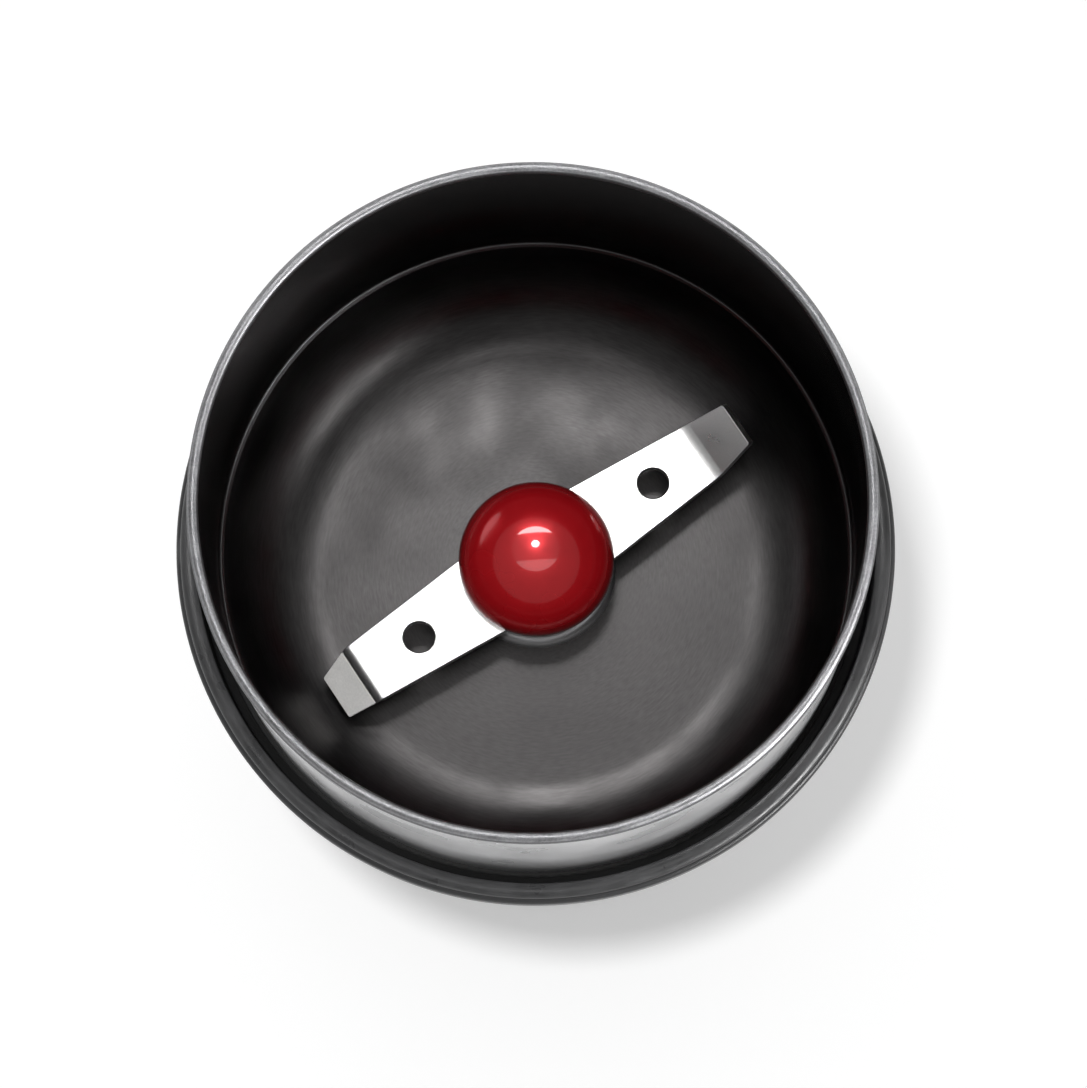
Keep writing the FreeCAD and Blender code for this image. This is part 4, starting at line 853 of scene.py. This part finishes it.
        def gap(angle: float, others: Iterable[float]) -> float:
            """Degrees from an angle to the nearest of some others."""
            return min(abs((angle - other + 180) % 360 - 180) for other in others)

        first, last = self.vent_free_half + 1, self.vents - self.vent_free_half
        angles = [90.0 + index * pitch for index in range(first, last)]
        angles = [angle for angle in angles if gap(angle, self.post_angles) >= pitch / 2]

        def opened(face: bpy.types.MeshPolygon) -> bool:
            """Tell whether a face lies in a vent."""
            turn = math.degrees(math.atan2(face.center.y, face.center.x))
            return low < face.center.z < high and gap(turn, angles) < half_vent

        with Workbench.picking(shell, "polygons", opened):
            bpy.ops.mesh.delete(type="FACE")

    def _cut_holes(self, shell: Piece) -> None:
        """Cut the holes for the button's bezel and for the cord's inlet.

        Args:
            shell: The housing.
        """
        holes = (("button_bezel", -1, self.bezel_gap), ("cord_inlet", 1, -self.inlet_overlap))
        for node, side, clearance in holes:
            low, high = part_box(node)
            radius = (high.x - low.x) / 2 + clearance
            middle = Vector((0, side * self.foot, (low.z + high.z) / 2))
            Workbench.drill(shell, radius, self.foot, middle, (0, 1, 0))


@dataclass
class PowerControl:
    """The power button in its turned bezel."""

    bezel_bore: float = 8.8 * MM
    button: float = 8.6 * MM
    crown: float = 0.8 * MM
    dish: float = 0.35 * MM
    dish_share: float = 0.72
    dish_rings: int = 12
    dish_brink: float = 0.02 * MM
    brink_round: float = 0.3 * MM
    flange: float = 9.9 * MM
    flange_thickness: float = 1.2 * MM
    stem: float = 2.5 * MM
    stem_length: float = 1.8 * MM
    edge: float = 0.45 * MM
    steps: int = 128

    def build(self) -> None:
        """Build the bezel and the button."""
        self.build_bezel()
        self.build_button()

    def build_bezel(self) -> None:
        """Spin the bezel and lay it in the housing's front."""
        low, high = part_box("button_bezel")
        outer = (high.x - low.x) / 2
        length = high.y - low.y
        bore = self.bezel_bore
        section = [(bore, length), (bore, self.edge)]
        section += arc((bore + self.edge * 1.4, self.edge), self.edge, 180, 270, 6)
        section += arc((outer - self.edge, self.edge), self.edge, 270, 360, 8)
        section += [(outer, length)]
        bezel = Workbench.turned("bezel_turning", section, self.steps)
        Workbench.face_front(bezel, low.y, (low.z + high.z) / 2)
        Workbench.dress(bezel, FINISHES.bezel)
        finish_piece(bezel, "base_unit", "bezel_metal", "button_bezel")

    def build_button(self) -> None:
        """Spin the button with its crowned rim and shallow dish."""
        low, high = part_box("power_button")
        depth = high.y - low.y
        flange_rear = depth - self.stem_length
        flange_front = flange_rear - self.flange_thickness
        dish_edge = self.button * self.dish_share
        shares = [index / self.dish_rings for index in range(self.dish_rings)]
        section = [(dish_edge * share, self.dish * (1 - share ** 2)) for share in shares]
        section += [(dish_edge, self.dish_brink)]
        section += arc((dish_edge + self.brink_round, self.brink_round), self.brink_round, 250, 285, 4)
        section += arc((self.button - self.crown, self.crown), self.crown, 292, 360, 9)
        section += [(self.button, flange_front), (self.flange, flange_front), (self.flange, flange_rear)]
        section += [(self.stem, flange_rear), (self.stem, depth), (0, depth)]
        button = Workbench.turned("button_moulding", section, self.steps)
        Workbench.face_front(button, low.y, (low.z + high.z) / 2)
        Workbench.dress(button, FINISHES.gloss_black)
        finish_piece(button, "button", "button_black", "power_button")


@dataclass
class ButtonSpring:
    """Coil spring that carries the power button back out."""

    wire: float = 0.5 * MM
    turns: int = 3
    sides: int = 16
    steps_per_turn: int = 48
    joint: str = "button_press"
    press: float = 2.0 * MM

    def build(self) -> None:
        """Wind the spring."""
        low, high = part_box("button_spring")
        length = high.y - low.y
        radius = (high.x - low.x - self.wire) / 2
        level = (low.z + high.z) / 2
        Workbench.clear()
        bpy.ops.mesh.primitive_circle_add(vertices=self.sides, radius=self.wire / 2, fill_type="NOTHING",
                                          location=(radius, 0, self.wire / 2), rotation=(math.pi / 2, 0, 0))
        spring = Workbench.take("spring_winding")
        steps = self.steps_per_turn * self.turns
        Workbench.modify(spring, "SCREW", angle=FULL_TURN * self.turns, screw_offset=length - self.wire,
                         steps=steps, render_steps=steps, axis="Z", use_merge_vertices=False)
        with Workbench.editing(spring):
            bpy.ops.mesh.select_mode(type="EDGE")
            bpy.ops.mesh.select_all(action="DESELECT")
            bpy.ops.mesh.select_non_manifold()
            bpy.ops.mesh.fill_holes(sides=0)
            bpy.ops.mesh.select_all(action="SELECT")
            bpy.ops.mesh.normals_make_consistent(inside=False)
            bpy.ops.mesh.select_mode(type="VERT")
        Workbench.face_front(spring, low.y, level)
        Workbench.dress(spring, FINISHES.spring)
        finish_piece(spring, "base_unit", "spring_steel", "button_spring")
        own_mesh(spring)


@dataclass
class Blade:
    """Two-armed blade: one tip bent up, the other down, with a hole in each arm."""

    root_width: float = 12.4 * MM
    bend_width: float = 8.3 * MM
    tip_width: float = 6.3 * MM
    thickness: float = 1.5 * MM
    bend_up: float = 26.1 * MM
    bend_down: float = 27.5 * MM
    tip: float = 6.4 * MM
    angle_up: float = 34.0
    angle_down: float = 48.0
    corner: float = 0.3 * MM
    knee: float = 0.9 * MM
    hole: float = 2.1 * MM
    hole_circle: float = 18.45 * MM
    spindle: float = 2.54 * MM
    edge: float = 0.14 * MM
    top_drop: float = 7.4 * MM
    hole_sides: int = 48

    def build(self) -> None:
        """Shape the blade from a flat strip."""
        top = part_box("blade_cap")[1].z - self.top_drop
        Workbench.clear()
        middle = (self.bend_down - self.bend_up) / 2
        bpy.ops.mesh.primitive_plane_add(size=1, location=(middle, 0, top))
        bpy.context.object.scale = (self.bend_up + self.bend_down, self.bend_width, 1)
        strip = Workbench.take("blade_stamping")
        self._widen_root(strip)
        for side, bend, angle in ((-1, self.bend_up, self.angle_up), (1, self.bend_down, -self.angle_down)):
            self._bend_tip(strip, side, bend, angle, top)
        self._round_corners(strip)
        Workbench.thicken(strip, self.thickness)
        for x, radius in ((-self.hole_circle, self.hole), (self.hole_circle, self.hole), (0, self.spindle)):
            middle = Vector((x, 0, top - self.thickness / 2))
            Workbench.drill(strip, radius, self.thickness * 4, middle, sides=self.hole_sides)
        Workbench.ease(strip, self.edge)
        tip_start = self.bend_down + self.knee / 2
        Workbench.dress(strip, FINISHES.blade, FINISHES.blade_tip,
                        choose=lambda place, normal: 1 if place.x > tip_start else 0)
        Workbench.even(strip)
        finish_piece(strip, "rotor", "blade_steel", "blade")

    def _widen_root(self, strip: Piece) -> None:
        """Cut the strip across at the shaft and widen it there."""
        with Workbench.picking(strip, "vertices", lambda vertex: True):
            bpy.ops.mesh.bisect(plane_co=(0, 0, 0), plane_no=(1, 0, 0))
        with Workbench.picking(strip, "vertices", lambda vertex: abs(vertex.co.x) < WELD):
            widening = (1, self.root_width / self.bend_width, 1)
            bpy.ops.transform.resize(value=widening, center_override=(0, 0, 0))

    def _bend_tip(self, strip: Piece, side: int, bend: float, angle: float, top: float) -> None:
        """Extrude one tip and bend it about its line.

        Args:
            strip: The strip.
            side: Which arm, -1 or 1 along X.
            bend: Distance of the bend from the shaft.
            angle: How far the tip rises, in degrees.
            top: Height of the blade's upper face.
        """
        rise = math.radians(angle)
        step = Vector((side * self.tip * math.cos(rise), 0, self.tip * math.sin(rise)))
        end = (side * bend + step.x, 0, top + step.z)

        def on_bend(vertex: bpy.types.MeshVertex) -> bool:
            """Tell whether a vertex lies on the bend's line."""
            return abs(vertex.co.x - side * bend) < WELD

        with Workbench.picking(strip, "vertices", on_bend):
            bpy.ops.mesh.extrude_region_move(TRANSFORM_OT_translate={"value": step})
            bpy.ops.transform.resize(value=(1, self.tip_width / self.bend_width, 1), center_override=end)
        with Workbench.picking(strip, "vertices", on_bend):
            bpy.ops.mesh.bevel(offset=self.knee, segments=5, affect="EDGES")

    def _round_corners(self, strip: Piece) -> None:
        """Round the four corners of the tips."""
        places = [vertex.co.x for vertex in strip.data.vertices]
        ends = (min(places), max(places))
        with Workbench.picking(strip, "vertices", lambda v: min(abs(v.co.x - end) for end in ends) < WELD):
            bpy.ops.mesh.bevel(offset=self.corner, segments=5, affect="VERTICES")


@dataclass
class DomedCap:
    """Glossy domed cap over the blade's nut."""

    radius: float = 10.2 * MM
    crown: float = 16.2 * MM
    skirt: float = 0.8 * MM
    lower_round: float = 0.3 * MM
    bore: float = 4.65 * MM
    bore_depth: float = 4.85 * MM
    smooth_angle: float = math.radians(50)
    steps: int = 192

    def build(self) -> None:
        """Spin the cap's section."""
        low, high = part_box("blade_cap")
        base, top = low.z, high.z
        level = base + self.skirt
        rise = top - level
        shoulder = (self.radius ** 2 + rise ** 2 - 2 * self.crown * rise) / (2 * (self.radius - self.crown))
        crown_level = top - self.crown
        lean = math.degrees(math.atan2(level - crown_level, self.radius - shoulder))
        turn = self.lower_round
        section = [(self.bore, base + self.bore_depth), (self.bore, base)]
        section += arc((self.radius - turn, base + turn), turn, -90, 0, 6)
        section += arc((self.radius - shoulder, level), shoulder, 0, lean, 22)
        section += arc((0, crown_level), self.crown, lean, 90, 24)[1:]
        section += [(0, base + self.bore_depth)]
        cap = Workbench.turned("cap_dome", section, self.steps)
        Workbench.dress(cap, FINISHES.cap, angle=self.smooth_angle)
        finish_piece(cap, "rotor", "red_gloss", "blade_cap")


@dataclass
class BowlHub:
    """Flanged steel bush in the bowl's floor."""

    neck: float = 6.95 * MM
    flange: float = 10.5 * MM
    flange_height: float = 1.2 * MM
    tower: float = 5.8 * MM
    tower_height: float = 3.4 * MM
    bore: float = 3.6 * MM
    seat: float = 5.0 * MM
    seat_depth: float = 2.9 * MM
    edge: float = 0.3 * MM
    steps: int = 128

    def build(self) -> None:
        """Spin the bush's section."""
        low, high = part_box("bowl_hub")
        floor = high.z - self.tower_height
        flange_top = floor + self.flange_height
        section = [(self.bore, low.z), (self.neck, low.z), (self.neck, floor), (self.flange, floor)]
        section += arc((self.flange - self.flange_height, floor), self.flange_height, 0, 90, 8)[1:]
        section += arc((self.tower + self.edge, flange_top + self.edge), self.edge, 270, 180, 5)
        section += arc((self.tower - self.edge, high.z - self.edge), self.edge, 0, 90, 5)
        seat_low = high.z - self.seat_depth
        section += [(self.seat, high.z), (self.seat, seat_low), (self.bore, seat_low)]
        hub = Workbench.turned("hub_bush", section, self.steps)
        Workbench.dress(hub, FINISHES.turned_steel)
        finish_piece(hub, "base_unit", "turned_steel", "bowl_hub")


@dataclass
class CarriedParts:
    """Parts whose solids are shown as they are, in groups of one finish each."""

    groups: tuple[tuple[Finish, tuple[str, ...]], ...] = (
        (FINISHES.rubber, ("bowl_gasket", "shaft_seal", "motor_mounts", "motor_foot_ring", "rubber_feet",
                           "cord_inlet")),
        (FINISHES.zinc, ("hub_nut", "bulkhead_screws", "mount_screws", "upper_motor_bracket",
                         "lower_motor_bracket", "tie_screws", "base_screws", "clamp_screws",
                         "switch_screws")),
        (FINISHES.nylon, ("bulkhead", "brush_carrier", "cord_clamp", "terminal_block", "cooling_fan",
                          "switch_plunger")),
        (FINISHES.brass, ("brush_holders", "switch_terminals", "cap_nut")),
        (FINISHES.copper, ("field_coils", "armature_windings")),
        (FINISHES.sheets, ("stator_core", "armature_core")),
        (FINISHES.bronze, ("upper_bearing", "lower_bearing")),
        (FINISHES.turned_steel, ("motor_shaft", "blade_spacer")),
        (FINISHES.carbon, ("carbon_brushes",)),
        (FINISHES.spring, ("brush_springs",)),
        (FINISHES.housing, ("base_plate",)),
        (FINISHES.amber_case, ("capacitor",)),
        (FINISHES.pale_case, ("thermal_cutout",)),
        (FINISHES.dark_case, ("switch_body",)),
        (FINISHES.cover, ("lead_wires",)),
        (FINISHES.fibre, ("thrust_washers",)),
        (FINISHES.commutator, ("commutator",)),
    )

    def build(self) -> None:
        """Dress every part that no new piece stands for."""
        for finish, nodes in self.groups:
            for node in nodes:
                Workbench.recolour(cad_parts[node], finish)
                log.info("%s: carried over in %s", node, finish.name)


@dataclass(frozen=True)
class Lamp:
    """A round area light that gives soft light and shadows, but no reflection."""

    name: str
    place: Triple
    radius: float
    power: float

    def build(self) -> None:
        """Hang the lamp, facing down."""
        light = bpy.data.lights.new(self.name, "AREA")
        light.shape = "DISK"
        light.size = 2 * self.radius
        light.energy = self.power
        lamp = bpy.data.objects.new(self.name, light)
        lamp.location = self.place
        lamp.visible_camera = False
        lamp.visible_glossy = False
        bpy.context.scene.collection.objects.link(lamp)


@dataclass(frozen=True)
class Card:
    """A round glowing card that shows only in reflections, with its own levels at its two ends."""

    name: str
    place: Triple
    radius: float
    heading: float
    middle: float
    far: float | None = None
    near: float | None = None
    far_from: float = 0.0
    near_to: float = 0.0
    soft: float = 6 * MM

    def build(self) -> None:
        """Hang the card."""
        Workbench.clear()
        bpy.ops.mesh.primitive_circle_add(vertices=96, radius=self.radius, fill_type="NGON")
        card = bpy.context.object
        card.name = self.name
        card.location = self.place
        card.rotation_euler = (0, 0, math.radians(self.heading))
        card.data.materials.append(self._glow())
        card.visible_camera = False
        card.visible_diffuse = False
        card.visible_shadow = False
        card.visible_transmission = False

    def _glow(self) -> bpy.types.Material:
        """Glow with one level at the far end, one in the middle and one at the near end.

        Returns:
            The material.
        """
        material = bpy.data.materials.new(self.name)
        graph = Graph(material)
        along = graph.part(graph.place(), "X")
        far, near = (self.middle if level is None else level for level in (self.far, self.near))
        levels = [graph.spread(along, low, high, edge - soft, edge + soft) for edge, soft, low, high in (
            (self.far_from, self.soft, self.middle, far),
            (self.near_to, -self.soft, 0.0, near - self.middle))]
        glow = graph.add("Emission", "Emission", {"Strength": graph.math("ADD", *levels)})
        graph.end("Material", glow)
        return material


@dataclass
class Studio:
    """Pale floor and soft light from above, as in the photograph."""

    floor_reach: float = 6.0
    floor_colour: float = 0.65
    glow_near: float = 0.42
    glow_far: float = 1.0
    glow_start: float = 0.16
    glow_end: float = 0.6
    ambient: float = 0.24
    overhead: float = 0.29
    sides: float = 0.8
    horizon: float = 0.3
    dark_from: float = 0.62
    lamps: tuple[Lamp, ...] = (
        Lamp("key", (50 * MM, 22 * MM, 650 * MM), 16 * MM, 2.45),
        Lamp("fill", (-65 * MM, -113 * MM, 650 * MM), 225 * MM, 0.9),
    )
    cards: tuple[Card, ...] = (
        Card("soft_box", (-65 * MM, -113 * MM, 650 * MM), 225 * MM, 240.0, 0.55, 14.0, 2.2,
             148 * MM, -121 * MM),
        Card("bright_dot", (-80 * MM, -138 * MM, 649 * MM), 36 * MM, 240.0, 36.0),
        Card("side_box", (-131 * MM, 325 * MM, 320 * MM), 110 * MM, 112.0, 26.0),
    )

    def build(self) -> None:
        """Build the floor, the world, the lamps and the cards."""
        self._build_floor()
        self._build_world()
        for light in (*self.lamps, *self.cards):
            light.build()

    def _build_floor(self) -> None:
        """A large pale floor that keeps the grinder's shadow."""
        Workbench.clear()
        bpy.ops.mesh.primitive_plane_add(size=self.floor_reach, location=(0, 0, 0))
        floor = bpy.context.object
        floor.name = "studio_floor"
        material = bpy.data.materials.new("studio_floor")
        graph = Graph(material)
        distance = graph.add("VectorMath", "Value", {0: graph.place()}, operation="LENGTH")
        level = graph.spread(distance, self.glow_near, self.glow_far, self.glow_start, self.glow_end,
                             interpolation_type="SMOOTHSTEP")
        seen = graph.math("MULTIPLY", level, graph.mirror_switch())
        glow = graph.add("Emission", "Emission", {"Strength": seen})
        matt = graph.add("BsdfDiffuse", "BSDF", {"Color": [self.floor_colour] * 3})
        graph.end("Material", graph.add("AddShader", "Shader", {0: matt, 1: glow}))
        floor.data.materials.append(material)

    def _build_world(self) -> None:
        """White where it is seen, dark overhead in reflections, and a soft fill for matt surfaces."""
        world = bpy.data.worlds.new("studio")
        bpy.context.scene.world = world
        graph = Graph(world)
        sky = graph.spread(graph.part(graph.place(), "Z"), self.sides, self.overhead,
                           self.horizon, self.dark_from, interpolation_type="SMOOTHSTEP")
        mirrored = graph.spread(graph.mirror_switch(), self.ambient, sky, 0.0, 1.0)
        seen = graph.math("MAXIMUM", mirrored, graph.add("LightPath", "Is Camera Ray"))
        graph.end("World", graph.add("Background", "Background", {"Color": (1, 1, 1), "Strength": seen}))


@dataclass
class PhotoCamera:
    """The camera, placed by the photograph's own perspective."""

    width: float = 1087.0
    height: float = 1088.0
    focal: float = 3469.0
    sensor: float = 36.0
    distance: float = 0.4106
    tilt: float = 10.44
    azimuth: float = 59.94
    roll: float = -3.61
    aim: Point = (532.5, 497.6)
    bead: float = 0.7 * MM
    clip: Point = (0.01, 20.0)

    def build(self) -> None:
        """Place the camera so that the rim's middle falls on its pixel."""
        lens = bpy.data.cameras.new("photo_camera")
        lens.sensor_width = self.sensor
        lens.lens = self.focal / self.height * self.sensor
        camera = bpy.data.objects.new("photo_camera", lens)
        bpy.context.scene.collection.objects.link(camera)
        target = Vector((0, 0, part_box("grinding_bowl")[1].z - self.bead))
        tilt, turn = math.radians(self.tilt), math.radians(self.azimuth)
        back = Vector((math.sin(tilt) * math.cos(turn), math.sin(tilt) * math.sin(turn), math.cos(tilt)))
        right = Vector((-math.sin(turn), math.cos(turn), 0))
        up = back.cross(right)
        basis = Matrix((right, up, back)).transposed()
        basis = basis @ Matrix.Rotation(math.radians(self.roll), 3, "Z")
        yaw = math.atan((self.aim[0] - self.width / 2) / self.focal)
        pitch = math.atan((self.height / 2 - self.aim[1]) / self.focal)
        basis = basis @ Matrix.Rotation(yaw, 3, "Y") @ Matrix.Rotation(-pitch, 3, "X")
        camera.matrix_world = Matrix.Translation(target + back * self.distance) @ basis.to_4x4()
        lens.clip_start, lens.clip_end = self.clip
        bpy.context.scene.camera = camera


def main() -> None:
    """Build the grinder and its studio, piece by piece."""
    logging.basicConfig(level=logging.INFO, format="%(name)s: %(message)s")
    for assembly in (PhotoCamera(), Studio(), CarriedParts(), GrindingBowl(), CollarRing(), Shells(),
                     PowerControl(), ButtonSpring(), Blade(), DomedCap(), BowlHub()):
        assembly.build()
        log.info("%s is built", type(assembly).__name__)
    bpy.context.scene.view_settings.view_transform = "Standard"


if __name__ == "__main__":
    main()
